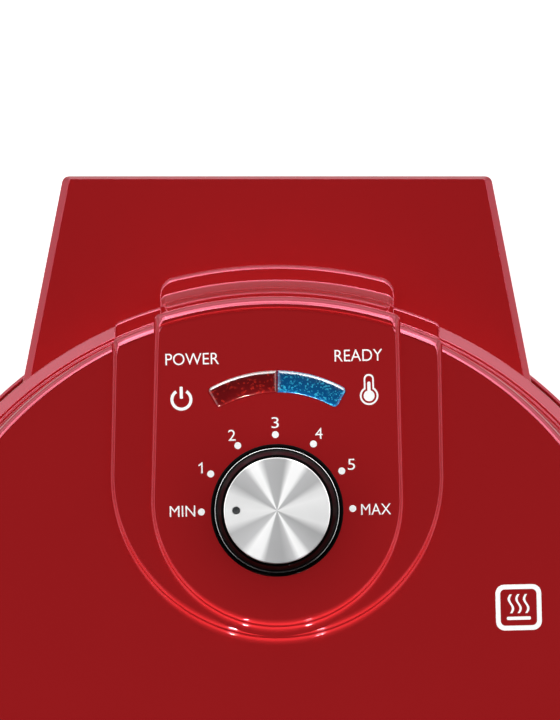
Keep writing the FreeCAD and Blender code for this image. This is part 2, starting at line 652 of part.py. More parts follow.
def base_posts():
    """Screw posts for the bottom cover, each tied to the wall by a rib."""
    posts = []
    for x, y in post_places():
        turn = math.degrees(math.atan2(y, x))
        post = disc(POST_RADIUS, BASE_FLOOR_Z + WALL, BASE_FLOOR_Z + POST_HEIGHT, x, y)
        rib = block((POST_CIRCLE, -1.2, BASE_FLOOR_Z + WALL + 1.0), (108.0, 1.2, BASE_FLOOR_Z + POST_HEIGHT))
        rib.rotate(Vector(0, 0, 0), Vector(0, 0, 1), turn)
        posts.append(post.fuse(rib.common(base_outside())))
    return posts


def base_shell():
    shell = base_outside().cut(base_hollow())
    hinge_ear = ear()
    shell = shell.fuse([hinge_ear, hinge_ear.mirror(Vector(0, 0, 0), Vector(1, 0, 0))] + base_posts())
    cuts = []
    bore_top_z = BASE_FLOOR_Z + POST_HEIGHT - 2.0
    for x, y in post_places():
        cuts.append(disc(SCREW_RADIUS + SCREW_FIT, BASE_FLOOR_Z - 1.0, bore_top_z, x, y))
    cuts.append(rod_y(INLET_SLEEVE + 0.05, BASE_REAR_Y - 10.0, BASE_REAR_Y + 5.0, INLET_X, INLET_Z))
    return shell.cut(cuts + foot_holes(REAR_FOOT))


def foot_holes(place):
    """Holes for the stems of one pair of feet."""
    radius = FOOT_STEM_RADIUS + FOOT_STEM_FIT
    return [disc(radius, BASE_FLOOR_Z - 1.0, BASE_FLOOR_Z + WALL + 1.0, side * place[0], place[1])
            for side in (-1.0, 1.0)]


def bottom_cover():
    """Round closing plate with slots for air, foot holes and screw holes."""
    below = BASE_FLOOR_Z - 1.0
    above = BASE_FLOOR_Z + WALL + 1.0
    plate = disc(COVER_RADIUS, BASE_FLOOR_Z, BASE_FLOOR_Z + WALL)
    cuts = foot_holes(FRONT_FOOT)
    sunk_z = BASE_FLOOR_Z + COVER_SCREW_SINK
    for x, y in post_places():
        cuts.append(disc(SCREW_RADIUS + SCREW_CLEARANCE, below, above, x, y))
        cuts.append(disc(COVER_SCREW_HEAD_RADIUS + SCREW_CLEARANCE, below, sunk_z, x, y))
    near, far = AIR_SLOT_SPAN
    for row in range(-3, 4):
        front_y = row * AIR_SLOT_PITCH - AIR_SLOT_HALF
        back_y = row * AIR_SLOT_PITCH + AIR_SLOT_HALF
        cuts.append(block((-far, front_y, below), (-near, back_y, above)))
        cuts.append(block((near, front_y, below), (far, back_y, above)))
    return plate.cut(cuts)


def cover_screws():
    screws = []
    for x, y in post_places():
        sunk_z = BASE_FLOOR_Z + COVER_SCREW_SINK
        shank = disc(SCREW_RADIUS, sunk_z, BASE_FLOOR_Z + POST_HEIGHT - 3.0, x, y)
        head = disc(COVER_SCREW_HEAD_RADIUS, BASE_FLOOR_Z + 0.1, sunk_z, x, y)
        slot = block((x - 2.2, y - 0.4, BASE_FLOOR_Z), (x + 2.2, y + 0.4, BASE_FLOOR_Z + 0.6))
        screws.append(shank.fuse(head).removeSplitter().cut(slot))
    return Part.makeCompound(screws)


def foot(x, y):
    """Tapered rubber foot with a barbed stem through the floor."""
    pad = Part.makeCone(FOOT_RADIUS - 1.5, FOOT_RADIUS, FOOT_HEIGHT, Vector(x, y, 0.0))
    barb_z = BASE_FLOOR_Z + WALL + 0.1
    stem = disc(FOOT_STEM_RADIUS, FOOT_HEIGHT, barb_z, x, y)
    barb = Part.makeCone(FOOT_STEM_RADIUS + 0.9, FOOT_STEM_RADIUS - 0.6, 2.0, Vector(x, y, barb_z))
    return pad.fuse([stem, barb]).removeSplitter()


def rubber_feet():
    feet = []
    for x, y in (FRONT_FOOT, REAR_FOOT):
        feet += [foot(-x, y), foot(x, y)]
    return Part.makeCompound(feet)


def hinge_pins():
    pin = rod_x(PIN_RADIUS, PIN_SPAN[0], PIN_SPAN[1], HINGE_Y, HINGE_Z)
    head = rod_x(PIN_RADIUS + 1.5, PIN_SPAN[0] - PIN_HEAD, PIN_SPAN[0], HINGE_Y, HINGE_Z)
    return both_sides(pin.fuse(head).removeSplitter())


def wire_conduit():
    """Heat-proof sleeve on the hinge axis that carries the lid's wires across the hinge."""
    inner_x = PIN_SPAN[0] - 3.0
    bore = rod_x(CONDUIT_BORE, -inner_x - 1.0, inner_x + 1.0, HINGE_Y, HINGE_Z)
    return rod_x(CONDUIT_RADIUS, -inner_x, inner_x, HINGE_Y, HINGE_Z).cut(bore)


def cord_inlet():
    """Flanged bush through the rear wall that the power cord comes in by."""
    outer_y = BASE_REAR_Y + INLET_FLANGE_DEPTH
    sleeve = rod_y(INLET_SLEEVE, outer_y - INLET_LENGTH, BASE_REAR_Y, INLET_X, INLET_Z)
    flange = rod_y(INLET_FLANGE, BASE_REAR_Y, outer_y, INLET_X, INLET_Z)
    bore = rod_y(INLET_BORE, BASE_REAR_Y - 20.0, BASE_REAR_Y + 5.0, INLET_X, INLET_Z)
    return sleeve.fuse(flange).cut(bore).removeSplitter()


def terminal_block():
    low_z = BASE_FLOOR_Z + WALL
    high_z = low_z + TERMINAL_HEIGHT
    body = block((*TERMINAL_LOW, low_z), (*TERMINAL_HIGH, high_z))
    well_y = (TERMINAL_LOW[1] + TERMINAL_HIGH[1]) / 2.0
    return body.cut([disc(2.4, low_z + 4.0, high_z + 1.0, x, well_y) for x in TERMINAL_WELLS_X])


def thermal_fuse():
    """One-shot fuse in its sleeve, tied across the heater's leads."""
    can = rod_x(2.2, -9.0, 9.0, FUSE_Y, FUSE_Z)
    leads = rod_x(0.6, -15.0, 15.0, FUSE_Y, FUSE_Z)
    return can.fuse(leads)


def handle(span_z, reach, body_radius):
    """Tapered grip that stands out from the front of the round body."""
    low_z, high_z = span_z
    grip = prism([
        (-HANDLE_HALF_ROOT, HANDLE_ROOT_Y), (-HANDLE_HALF_TIP, -reach), (HANDLE_HALF_TIP, -reach),
        (HANDLE_HALF_ROOT, HANDLE_ROOT_Y),
    ], low_z, high_z)
    upright = edges_at(grip, lambda edge: edge.BoundBox.ZLength > 1.0)
    tip_corners = [edge for edge in upright if edge.BoundBox.YMax < -reach + 0.01]
    grip = grip.makeFillet(HANDLE_CORNER, tip_corners)
    grip = grip.makeFillet(HANDLE_EDGE, flat_edges(grip, high_z) + flat_edges(grip, low_z))
    return grip.cut(disc(body_radius, low_z - 5.0, high_z + 5.0))


def upper_handle():
    return handle(UPPER_HANDLE_Z, HANDLE_REACH, LID_RADIUS)


def lower_handle():
    return handle(LOWER_HANDLE_Z, HANDLE_REACH - LOWER_HANDLE_SETBACK, BASE_RADIUS)


def panel_screws():
    screws = []
    for x, y in PANEL_SCREWS:
        shank = disc(SCREW_RADIUS, LID_TOP_Z - WALL, PANEL_TOP_Z - 0.8, x, y)
        head = disc(SCREW_HEAD_RADIUS, LID_TOP_Z - WALL - SCREW_HEAD, LID_TOP_Z - WALL, x, y)
        screws.append(shank.fuse(head).removeSplitter())
    return Part.makeCompound(screws)


NODES = {
    "base_shell": base_shell,
    "bottom_cover": bottom_cover,
    "bottom_cover_screws": cover_screws,
    "rubber_feet": rubber_feet,
    "lower_waffle_plate": waffle_plate,
    "lower_heating_element": heating_element,
    "lower_heat_shield": heat_shield,
    "lower_plate_screws": plate_screws,
    "lower_handle": lower_handle,
    "hinge_pins": hinge_pins,
    "wire_conduit": wire_conduit,
    "cord_inlet": cord_inlet,
    "terminal_block": terminal_block,
    "thermal_fuse": thermal_fuse,
    "lid_shell": lid_shell,
    "control_panel": control_panel,
    "control_panel_screws": panel_screws,
    "power_lens": lambda: lens(-1.0),
    "ready_lens": lambda: lens(1.0),
    "lamp_holder": lamp_holder,
    "power_lamp": lambda: lamp(-1.0),
    "ready_lamp": lambda: lamp(1.0),
    "thermostat_body": thermostat_body,
    "thermostat_bracket": thermostat_bracket,
    "thermostat_sensor": thermostat_sensor,
    "upper_waffle_plate": lambda: flipped(waffle_plate()),
    "upper_heating_element": lambda: flipped(heating_element()),
    "upper_heat_shield": lambda: flipped(heat_shield()),
    "upper_plate_screws": lambda: flipped(plate_screws()),
    "upper_handle": upper_handle,
    "thermostat_shaft": thermostat_shaft,
    "dial_body": dial_body,
    "dial_ring": dial_ring,
    "dial_cap": dial_cap,
}


def main():
    os.makedirs("parts", exist_ok=True)
    for name, make in NODES.items():
        shape = make()
        shape.translate(Vector(0, PLATE_SHIFT_Y, 0))
        shape.exportStep("parts/" + name + ".step")
        volume = round(shape.Volume / 1000.0, 2)
        print(name, len(shape.Solids), "solids", volume, "cm3, valid", shape.isValid())


main()
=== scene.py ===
import json
import logging
import math
from dataclasses import dataclass, field, replace
from enum import Enum
from typing import Callable, Iterable, Optional, Sequence, Union

import bmesh
import bpy
from mathutils import Matrix, Vector


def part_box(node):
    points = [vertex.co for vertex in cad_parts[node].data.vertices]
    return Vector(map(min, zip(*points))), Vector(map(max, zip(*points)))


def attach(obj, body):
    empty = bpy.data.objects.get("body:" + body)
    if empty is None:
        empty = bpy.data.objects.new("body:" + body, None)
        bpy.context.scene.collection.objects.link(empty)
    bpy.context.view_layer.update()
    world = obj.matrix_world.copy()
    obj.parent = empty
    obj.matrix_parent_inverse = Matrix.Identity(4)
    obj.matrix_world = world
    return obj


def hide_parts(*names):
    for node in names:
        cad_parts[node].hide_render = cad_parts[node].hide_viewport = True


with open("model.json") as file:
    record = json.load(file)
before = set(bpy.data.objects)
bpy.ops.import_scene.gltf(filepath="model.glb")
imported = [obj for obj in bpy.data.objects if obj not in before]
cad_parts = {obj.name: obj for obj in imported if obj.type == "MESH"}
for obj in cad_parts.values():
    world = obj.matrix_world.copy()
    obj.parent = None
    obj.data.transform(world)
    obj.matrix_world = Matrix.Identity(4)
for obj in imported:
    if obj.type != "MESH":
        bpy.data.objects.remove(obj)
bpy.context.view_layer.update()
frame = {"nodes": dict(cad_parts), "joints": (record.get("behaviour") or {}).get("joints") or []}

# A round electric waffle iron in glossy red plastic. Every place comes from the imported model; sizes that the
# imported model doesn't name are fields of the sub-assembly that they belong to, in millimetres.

LOG = logging.getLogger("waffle_iron")
Flat = tuple[float, float]
Corner = tuple[float, float, float]
Loop = list[Vector]
Colour = tuple[float, float, float, float]
Piece = bpy.types.Object
Tree = bpy.types.NodeTree
Socket = bpy.types.NodeSocket

FULL_TURN = 2.0 * math.pi
QUARTER_TURN = 0.5 * math.pi
RING_STEPS = 240
FILLET_STEPS = 7
# Steps along half of a raised U's outline: its nose, side, back corner and back.
NOSE_STEPS, SIDE_STEPS, CORNER_STEPS, BACK_STEPS = 48, 24, 10, 24
SMOOTH_DEGREES = 32.0
# How far the hinge cover's top lies below the lid's flat, in millimetres.
COVER_DROP = 24.0
# The hinge cheeks' discs and pin holes, in millimetres.
CHEEK_RADIUS = 9.0
CHEEK_EDGE = 0.5
PIN_HOLE_RADIUS = 3.05
# Left and right.
SIDES = (-1.0, 1.0)
ORIGIN = (0.0, 0.0)
# Sockets of the colour mixing node, which has several with the same name.
MIX_FIRST, MIX_SECOND, MIX_RESULT = 6, 7, 2


class Body(Enum):
    """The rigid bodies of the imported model."""

    BASE = "base"
    LID = "lid"
    DIAL = "dial"


def mm(value: float) -> float:
    """Millimetres as metres."""
    return value / 1000.0


def linear(colour: str) -> Colour:
    """Linear colour of an sRGB hex value.

    Args:
        colour: Six hex digits, red first.

    Returns:
        Red, green, blue and an alpha of 1, all linear.
    """
    parts = [int(colour[i:i + 2], 16) / 255.0 for i in (0, 2, 4)]
    red, green, blue = (p / 12.92 if p <= 0.04045 else ((p + 0.055) / 1.055) ** 2.4 for p in parts)
    return (red, green, blue, 1.0)


# Meshes ------------------------------------------------------------------------------------------


def rounded_path(corners: Sequence[Corner], closed: bool = True, steps: int = FILLET_STEPS) -> list[Flat]:
    """Replaces each corner of an outline by an arc.

    Args:
        corners: (a, b, radius) for each corner; a radius of 0 keeps the corner sharp.
        closed: Whether the outline runs back to its start.
        steps: Segments in each arc.

    Returns:
        The outline's points.
    """
    path: list[Flat] = []
    count = len(corners)
    for index, (a, b, radius) in enumerate(corners):
        here = Vector((a, b))
        if radius <= 0.0 or (not closed and index in (0, count - 1)):
            path.append((a, b))
            continue
        before = (Vector(corners[index - 1][:2]) - here).normalized()
        after = (Vector(corners[(index + 1) % count][:2]) - here).normalized()
        half = before.angle(after) / 2.0
        start = here + before * (radius / math.tan(half))
        centre = here + (before + after).normalized() * (radius / math.sin(half))
        spoke = start - centre
        sweep = math.pi - 2.0 * half
        side = 1.0 if before.x * after.y - before.y * after.x < 0.0 else -1.0
        for step in range(steps + 1):
            turned = Matrix.Rotation(side * sweep * step / steps, 2) @ spoke
            path.append(tuple(centre + turned))
    return path


def mesh_object(name: str, points: Sequence[Sequence[float]], faces: Sequence[Sequence[int]]) -> Piece:
    """Makes a mesh object with outward faces.

    Args:
        name: The object's name.
        points: Vertex places in metres.
        faces: Vertex indices of each face.

    Returns:
        The new object, linked to the scene.
    """
    mesh = bpy.data.meshes.new(name)
    mesh.from_pydata([tuple(p) for p in points], [], [tuple(f) for f in faces])
    mesh.validate()
    obj = bpy.data.objects.new(name, mesh)
    bpy.context.scene.collection.objects.link(obj)
    work = bmesh.new()
    work.from_mesh(mesh)
    bmesh.ops.recalc_face_normals(work, faces=work.faces)
    work.to_mesh(mesh)
    work.free()
    return obj


def skin_loops(name: str, loops: Sequence[Loop], caps: bool = True, ring: bool = False) -> Piece:
    """Skins a stack of closed loops that all have the same number of points.

    Args:
        name: The object's name.
        loops: The loops in order.
        caps: Whether the first and last loop are closed by a flat face.
        ring: Whether the last loop joins the first one, as in a ring's section.

    Returns:
        The skinned object.
    """
    size = len(loops[0])
    points = [p for loop in loops for p in loop]
    faces: list[list[int]] = []
    spans = len(loops) if ring else len(loops) - 1
    for row in range(spans):
        low, high = row * size, ((row + 1) % len(loops)) * size
        for col in range(size):
            nxt = (col + 1) % size
            faces.append([low + col, low + nxt, high + nxt, high + col])
    if caps and not ring:
        faces.append(list(range(size)))
        faces.append(list(range((len(loops) - 1) * size, len(loops) * size)))
    return mesh_object(name, points, faces)


def turns(steps: int, sweep: float = FULL_TURN, start: float = 0.0, last: bool = False) -> list[float]:
    """Evenly spaced angles over a sweep; the one at its end is left out unless it is asked for."""
    return [start + sweep * k / steps for k in range(steps + last)]


def polar(centre: Flat, radius: float, angles: Iterable[float]) -> list[Flat]:
    """Points on a circle at the given angles."""
    return [(centre[0] + radius * math.cos(t), centre[1] + radius * math.sin(t)) for t in angles]


def circle_loop(radius: float, z: float, centre: Flat, steps: int = RING_STEPS) -> Loop:
    """A level circle of points about a centre."""
    return [Vector((x, y, z)) for x, y in polar(centre, radius, turns(steps))]


def upright_circle(centre: Flat, radius: float, x: float, steps: int = 64) -> Loop:
    """A circle about an axis along X, at one place on it."""
    return [Vector((x, y, z)) for y, z in polar(centre, radius, turns(steps))]


def level_loop(path: Iterable[Flat], centre_y: float, z: float) -> Loop:
    """A level loop in metres from points in millimetres about a centre on the Y axis."""
    return [Vector((mm(x), centre_y + mm(y), z)) for x, y in path]


def rolled_edge(radius: float, steps: int) -> list[Flat]:
    """(inset, rise) points of an edge that rolls from level to upright."""
    bends = turns(steps, QUARTER_TURN, last=True)
    return [(radius * (1.0 - math.sin(t)), radius * (1.0 - math.cos(t))) for t in bends]


def divided(path: Sequence[Flat], shortest: float, parts: int, closed: bool) -> list[Flat]:
    """Cuts the wide runs of a path into equal parts, so that they can bow.

    Args:
        path: The outline's points.
        shortest: Runs that are wider than this are cut.
        parts: Parts that such a run is cut into.
        closed: Whether the outline runs back to its start.

    Returns:
        The denser outline.
    """
    made: list[Flat] = []
    for (x, y), after in zip(path, [*path[1:], path[0]] if closed else path[1:]):
        run, climb = after[0] - x, after[1] - y
        cuts = parts if abs(run) > shortest else 1
        made += [(x + run * k / cuts, y + climb * k / cuts) for k in range(cuts)]
    return made if closed else [*made, path[-1]]


def lathe(
    name: str, profile: Sequence[Flat], centre: Flat, ring: bool = False, steps: int = RING_STEPS,
    shift: Optional[Callable[[float], float]] = None,
) -> Piece:
    """Turns a profile about an upright axis.

    Args:
        name: The object's name.
        profile: (radius, height) points; the ends are capped unless ring is true.
        centre: The axis's place.
        ring: Whether the profile is closed and stays clear of the axis.
        steps: Segments round the axis.
        shift: Gives how far the section at a height leans towards +Y.

    Returns:
        The turned object.
    """
    lean = shift or (lambda z: 0.0)
    loops = [circle_loop(r, z, (centre[0], centre[1] + lean(z)), steps) for r, z in profile]
    return skin_loops(name, loops, caps=not ring, ring=ring)


def apply_modifiers(obj: Piece) -> Piece:
    """Bakes an object's modifiers into its mesh."""
    bpy.context.view_layer.update()
    graph = bpy.context.evaluated_depsgraph_get()
    made = bpy.data.meshes.new_from_object(obj.evaluated_get(graph), depsgraph=graph)
    obj.modifiers.clear()
    old = obj.data
    obj.data = made
    bpy.data.meshes.remove(old)
    return obj


class Cut(Enum):
    """What a boolean does with its second shape."""

    JOIN = "UNION"
    REMOVE = "DIFFERENCE"


def combine(obj: Piece, others: Iterable[Piece], how: Cut) -> Piece:
    """Joins shapes to an object or removes them from it; the others are used up.

    Args:
        obj: The object that is kept.
        others: The shapes that are joined or removed.
        how: Which of the two.

    Returns:
        The changed object.
    """
    for other in others:
        tool = obj.modifiers.new("combine", "BOOLEAN")
        tool.operation = how.value
        tool.solver = "MANIFOLD"
        tool.object = other
        apply_modifiers(obj)
        bpy.data.objects.remove(other)
    return obj


def shade(obj: Piece, degrees: float = SMOOTH_DEGREES) -> Piece:
    """Smooth shading that keeps flat faces flat: sharp edges above an angle, normals led by big faces."""
    work = bmesh.new()
    work.from_mesh(obj.data)
    bmesh.ops.dissolve_degenerate(work, dist=mm(0.0005), edges=work.edges)
    bmesh.ops.triangulate(work, faces=[f for f in work.faces if len(f.verts) > 4])
    limit = math.radians(degrees)
    for face in work.faces:
        face.smooth = True
    for edge in work.edges:
        edge.smooth = len(edge.link_faces) != 2 or edge.calc_face_angle(0.0) < limit
    work.to_mesh(obj.data)
    work.free()
    normals = obj.modifiers.new("normals", "WEIGHTED_NORMAL")
    normals.mode = "FACE_AREA"
    normals.weight = 50
    normals.keep_sharp = True
    return apply_modifiers(obj)


# Materials ---------------------------------------------------------------------------------------


def add_node(tree: Tree, kind: str, settings: dict, links: dict) -> bpy.types.Node:
    """Adds one shader node.

    Args:
        tree: The node tree.
        kind: The node's type name.
        settings: Node attributes, or input values where the key is an input's name.
        links: Output socket for each linked input's name.

    Returns:
        The new node.
    """
    node = tree.nodes.new(kind)
    for key, value in settings.items():
        if hasattr(node, key) and key not in node.inputs:
            setattr(node, key, value)
        else:
            node.inputs[key].default_value = value
    for key, socket in links.items():
        tree.links.new(socket, node.inputs[key])
    return node


def empty_tree(owner: Union[bpy.types.Material, bpy.types.World]) -> Tree:
    """The node tree of a material or world, emptied."""
    owner.use_nodes = True
    owner.node_tree.nodes.clear()
    return owner.node_tree


def noise(tree: Tree, place: Socket, size_mm: float, detail: float, roughness: float = 0.5) -> Socket:
    """A cloudy pattern whose marks have the given size."""
    settings = {"Scale": 1.0 / mm(size_mm), "Detail": detail, "Roughness": roughness}
    return add_node(tree, "ShaderNodeTexNoise", settings, {"Vector": place}).outputs["Fac"]


def ranged(tree: Tree, value: Socket, taken: Flat, given: Flat) -> Socket:
    """A value moved from one range to another and held inside it."""
    limits = {"From Min": taken[0], "From Max": taken[1], "To Min": given[0], "To Max": given[1]}
    return add_node(tree, "ShaderNodeMapRange", limits, {"Value": value}).outputs["Result"]


def bumped(tree: Tree, height: Socket, strength: float, depth_mm: float) -> Socket:
    """The normal of a surface that a pattern raises by a depth."""
    settings = {"Strength": strength, "Distance": mm(depth_mm)}
    return add_node(tree, "ShaderNodeBump", settings, {"Height": height}).outputs["Normal"]


def blended(tree: Tree, factor: Socket, first: Union[Socket, str], second: str) -> Socket:
    """Two colours mixed by a factor; the first is a hex value or comes from another pattern."""
    mix = add_node(tree, "ShaderNodeMix", {"data_type": "RGBA"}, {"Factor": factor})
    if isinstance(first, str):
        mix.inputs[MIX_FIRST].default_value = linear(first)
    else:
        tree.links.new(first, mix.inputs[MIX_FIRST])
    mix.inputs[MIX_SECOND].default_value = linear(second)
    return mix.outputs[MIX_RESULT]


def ramp(tree: Tree, fac: Socket, stops: Sequence[tuple[float, Colour]]) -> Socket:
    """A colour read off a row of stops.

    Args:
        tree: The node tree.
        fac: The value that the row is read at.
        stops: (value, colour) of each stop, in order.

    Returns:
        The colour.
    """
    node = add_node(tree, "ShaderNodeValToRGB", {}, {"Fac": fac})
    elements = node.color_ramp.elements
    for element, (place, colour) in ((elements[0], stops[0]), (elements[1], stops[-1])):
        element.position, element.color = place, colour
    for place, colour in stops[1:-1]:
        elements.new(place).color = colour
    return node.outputs["Color"]


def around(tree: Tree, place: Socket) -> Socket:
    """The share of a full turn about the upright axis at which a place or direction lies."""
    gradient = add_node(tree, "ShaderNodeTexGradient", {"gradient_type": "RADIAL"}, {"Vector": place})
    return gradient.outputs["Fac"]


def from_middle(tree: Tree) -> Socket:
    """Where a point lies about the middle of its piece, in shares of the piece's box."""
    place = add_node(tree, "ShaderNodeTexCoord", {}, {}).outputs["Generated"]
    centred = add_node(tree, "ShaderNodeVectorMath", {"operation": "SUBTRACT"}, {"Vector": place})
    centred.inputs[1].default_value = (0.5, 0.5, 0.5)
    return centred.outputs["Vector"]


# Size of the marks that hands and cloths leave, in millimetres.
RUB_MM = 14.0


@dataclass(frozen=True)
class Finish:
    """A surface: what it is made of, how it was made, and the size of its marks.

    The look is one Principled shader. Its colour wanders a little between two tones, its roughness rises in
    handling marks, and its bump is the grain of the mould or of the coating.
    """

    name: str
    tone: str
    second_tone: str
    roughness: float
    rough_spread: float = 0.05
    grain_mm: float = 1.0
    grain_depth_mm: float = 0.002
    cloud_mm: float = 40.0
    metallic: float = 0.0
    ior: Optional[float] = None
    coat: float = 0.0
    coat_roughness: float = 0.03
    extra: dict = field(default_factory=dict)

    def material(self) -> bpy.types.Material:
        """The finish as a Blender material, made once and then shared."""
        known = bpy.data.materials.get(self.name)
        if known:
            return known
        material = bpy.data.materials.new(self.name)
        tree = empty_tree(material)
        add_node(tree, "ShaderNodeOutputMaterial", {}, {"Surface": self.shader(tree).outputs["BSDF"]})
        return material

    def colour(self, tree: Tree, place: Socket) -> Socket:
        """Two tones that wander over the surface in soft clouds."""
        return blended(tree, noise(tree, place, self.cloud_mm, 3.0), self.tone, self.second_tone)

    def roughness_map(self, tree: Tree, place: Socket) -> Socket:
        """Roughness that rises where hands and cloths have rubbed."""
        rubs = noise(tree, place, RUB_MM, 6.0, 0.65)
        return ranged(tree, rubs, (0.45, 0.75), (self.roughness, self.roughness + self.rough_spread))

    def bump(self, tree: Tree, place: Socket) -> Socket:
        """Fine grain in the surface, as deep as the real one."""
        return bumped(tree, noise(tree, place, self.grain_mm, 2.0), 1.0, self.grain_depth_mm)

    def shader(self, tree: Tree) -> bpy.types.Node:
        """The Principled shader with its maps."""
        place = add_node(tree, "ShaderNodeTexCoord", {}, {}).outputs["Object"]
        settings = {
            "Metallic": self.metallic, "Coat Weight": self.coat, "Coat Roughness": self.coat_roughness,
            **self.extra,
        }
        if self.ior is not None and self.metallic == 0.0:
            settings["IOR"] = self.ior
        links = {
            "Base Color": self.colour(tree, place),
            "Roughness": self.roughness_map(tree, place),
            "Normal": self.bump(tree, place),
        }
        return add_node(tree, "ShaderNodeBsdfPrincipled", settings, links)


# Width of the spun cap, which its rings are spaced over.
CAP_WIDTH_MM = 29.2


@dataclass(frozen=True)
class SpunAluminium(Finish):
    """Aluminium turned in a lathe: fine rings that stretch each light into a fan across the face. Lighter
    fan-shaped sectors are also painted into its colour as painted reflection.
    """

    ring_mm: float = 0.35

    def colour(self, tree: Tree, place: Socket) -> Socket:
        """Bright metal with painted reflection: faint lighter and greyer fan-shaped sectors round the cap,
        painted into the colour.
        """
        # The stops paint reflection: near-white sectors where the lights would spread into a fan, grey between
        # them.
        stops = [
            (0.00, "f2f2f2"), (0.045, "e9e9e9"), (0.075, "b9b9ba"), (0.13, "c6c6c7"), (0.155, "f7f7f7"),
            (0.195, "f2f2f2"), (0.215, "b4b4b5"), (0.27, "aeaeaf"), (0.305, "c2c2c3"), (0.325, "fafafa"),
            (0.345, "f0f0f0"), (0.36, "bdbdbe"), (0.42, "a9a9aa"), (0.455, "e6e6e6"), (0.545, "f0f0f0"),
            (0.575, "e2e2e2"), (0.60, "b4b4b5"), (0.645, "bcbcbd"), (0.665, "f6f6f6"), (0.70, "fafafa"),
            (0.725, "b2b2b3"), (0.79, "b8b8b9"), (0.815, "fbfbfb"), (0.84, "f4f4f4"), (0.86, "bcbcbd"),
            (0.91, "b0b0b1"), (0.945, "e4e4e4"), (1.00, "f2f2f2"),
        ]
        painted_reflection_fans = [(position, linear(tone)) for position, tone in stops]
        return ramp(tree, around(tree, from_middle(tree)), painted_reflection_fans)

    def bump(self, tree: Tree, place: Socket) -> Socket:
        """Concentric tool rings."""
        reach = add_node(tree, "ShaderNodeVectorMath", {"operation": "LENGTH"}, {"Vector": from_middle(tree)})
        rings = add_node(
            tree, "ShaderNodeTexNoise",
            {"noise_dimensions": "1D", "Scale": CAP_WIDTH_MM / self.ring_mm, "Detail": 3.0},
            {"W": reach.outputs["Value"]},
        )
        return bumped(tree, rings.outputs["Fac"], 0.6, self.grain_depth_mm)

    def shader(self, tree: Tree) -> bpy.types.Node:
        """The metal with its highlights stretched across the rings."""
        shader = super().shader(tree)
        tangent = add_node(tree, "ShaderNodeTangent", {"direction_type": "RADIAL", "axis": "Z"}, {})
        tree.links.new(tangent.outputs["Tangent"], shader.inputs["Tangent"])
        return shader


@dataclass(frozen=True)
class GlitterLens(Finish):
    """Tinted acrylic over a moulded prism pattern. Random cells of the pattern get a lighter tone: on the
    windows that is painted glint, standing in for light that the prisms throw back; on the non-stick coating
    it is the coating's real pale flecks.
    """

    speck_tone: str = "ffffff"
    speck_mm: float = 0.45
    speck_share: float = 0.3

    def prisms(self, tree: Tree, place: Socket) -> bpy.types.Node:
        """The cells of the prism pattern."""
        settings = {"feature": "F1", "Scale": 1.0 / mm(self.speck_mm)}
        return add_node(tree, "ShaderNodeTexVoronoi", settings, {"Vector": place})

    def colour(self, tree: Tree, place: Socket) -> Socket:
        """The tint with lighter specks in random cells: painted glints on the windows, real flecks on the
        non-stick coating.
        """
        base = super().colour(tree, place)
        cells = self.prisms(tree, place).outputs["Color"]
        pick = add_node(tree, "ShaderNodeSeparateColor", {}, {"Color": cells}).outputs["Red"]
        # The picked cells: painted glints on the windows, real pale flecks on the non-stick coating.
        glint_and_fleck_mask = ranged(tree, pick, (1.0 - self.speck_share, 1.0), (0.0, 1.0))
        return blended(tree, glint_and_fleck_mask, base, self.speck_tone)

    def bump(self, tree: Tree, place: Socket) -> Socket:
        """The prisms seen through the acrylic."""
        return bumped(tree, self.prisms(tree, place).outputs["Distance"], 0.5, self.grain_depth_mm)


# Injection-moulded ABS from a polished mould, deep red all through. The rosy tint of its gloss keeps every
# reflection warm, and the faint long waves are those of moulded gloss parts.
RED_ABS = Finish(
    "abs_red_polished_mould", "9d1c1f", "a11d20", 0.045, rough_spread=0.04, grain_mm=9.0,
    grain_depth_mm=0.0004,
    ior=1.68, coat=0.25, coat_roughness=0.02, extra={"Specular Tint": (1.0, 0.12, 0.24, 1.0)},
)
# The control panel is the same ABS in a slightly brighter tone.
PANEL_ABS = replace(RED_ABS, name="abs_red_panel_polished_mould", tone="a11d20", second_tone="a51e21")
# Polypropylene from a spark-eroded mould: a dry, even grain that kills reflections.
BLACK_PP = Finish(
    "polypropylene_black_sparked_mould", "141416", "1b1b1d", 0.55, rough_spread=0.15, grain_mm=0.45,
    grain_depth_mm=0.03,
)
# Phenolic moulding for hot handles: satin black with a fine leathery grain.
PHENOLIC = Finish(
    "phenolic_black_satin_moulded", "0e0e10", "17171a", 0.38, rough_spread=0.12, grain_mm=0.6,
    grain_depth_mm=0.018,
    ior=1.55,
)
# Nitrile rubber from a plain steel mould: dull, with a trace of bloom.
FOOT_RUBBER = Finish(
    "nitrile_rubber_moulded", "161616", "222221", 0.75, rough_spread=0.15, grain_mm=0.8, grain_depth_mm=0.03,
)
# Cast aluminium under sprayed non-stick coating: dark grey with pale mica flecks and a slight orange peel.
NONSTICK = GlitterLens(
    "nonstick_coating_sprayed_on_casting", "26272a", "2f3033", 0.34, rough_spread=0.14, grain_mm=0.7,
    grain_depth_mm=0.012, speck_tone="6b6d72", speck_mm=0.7, speck_share=0.12,
)
# Zinc-plated steel screws: cool grey, a little cloudy.
ZINC_STEEL = Finish(
    "steel_zinc_plated", "a9abae", "b9bab8", 0.3, rough_spread=0.15, grain_mm=0.5, grain_depth_mm=0.006,
    metallic=1.0,
)
# Heater sheath: stainless tube that has gone dull and straw-coloured with heat.
HEATER_STEEL = Finish(
    "stainless_tube_heat_tinted", "77716a", "8b857c", 0.42, rough_spread=0.2, grain_mm=1.5,
    grain_depth_mm=0.01,
    metallic=1.0,
)
# Rolled aluminium sheet for shields and brackets.
ALUMINIUM_SHEET = Finish(
    "aluminium_sheet_rolled", "c3c4c6", "cfd0d1", 0.28, rough_spread=0.18, grain_mm=2.0, grain_depth_mm=0.008,
    metallic=1.0,
)
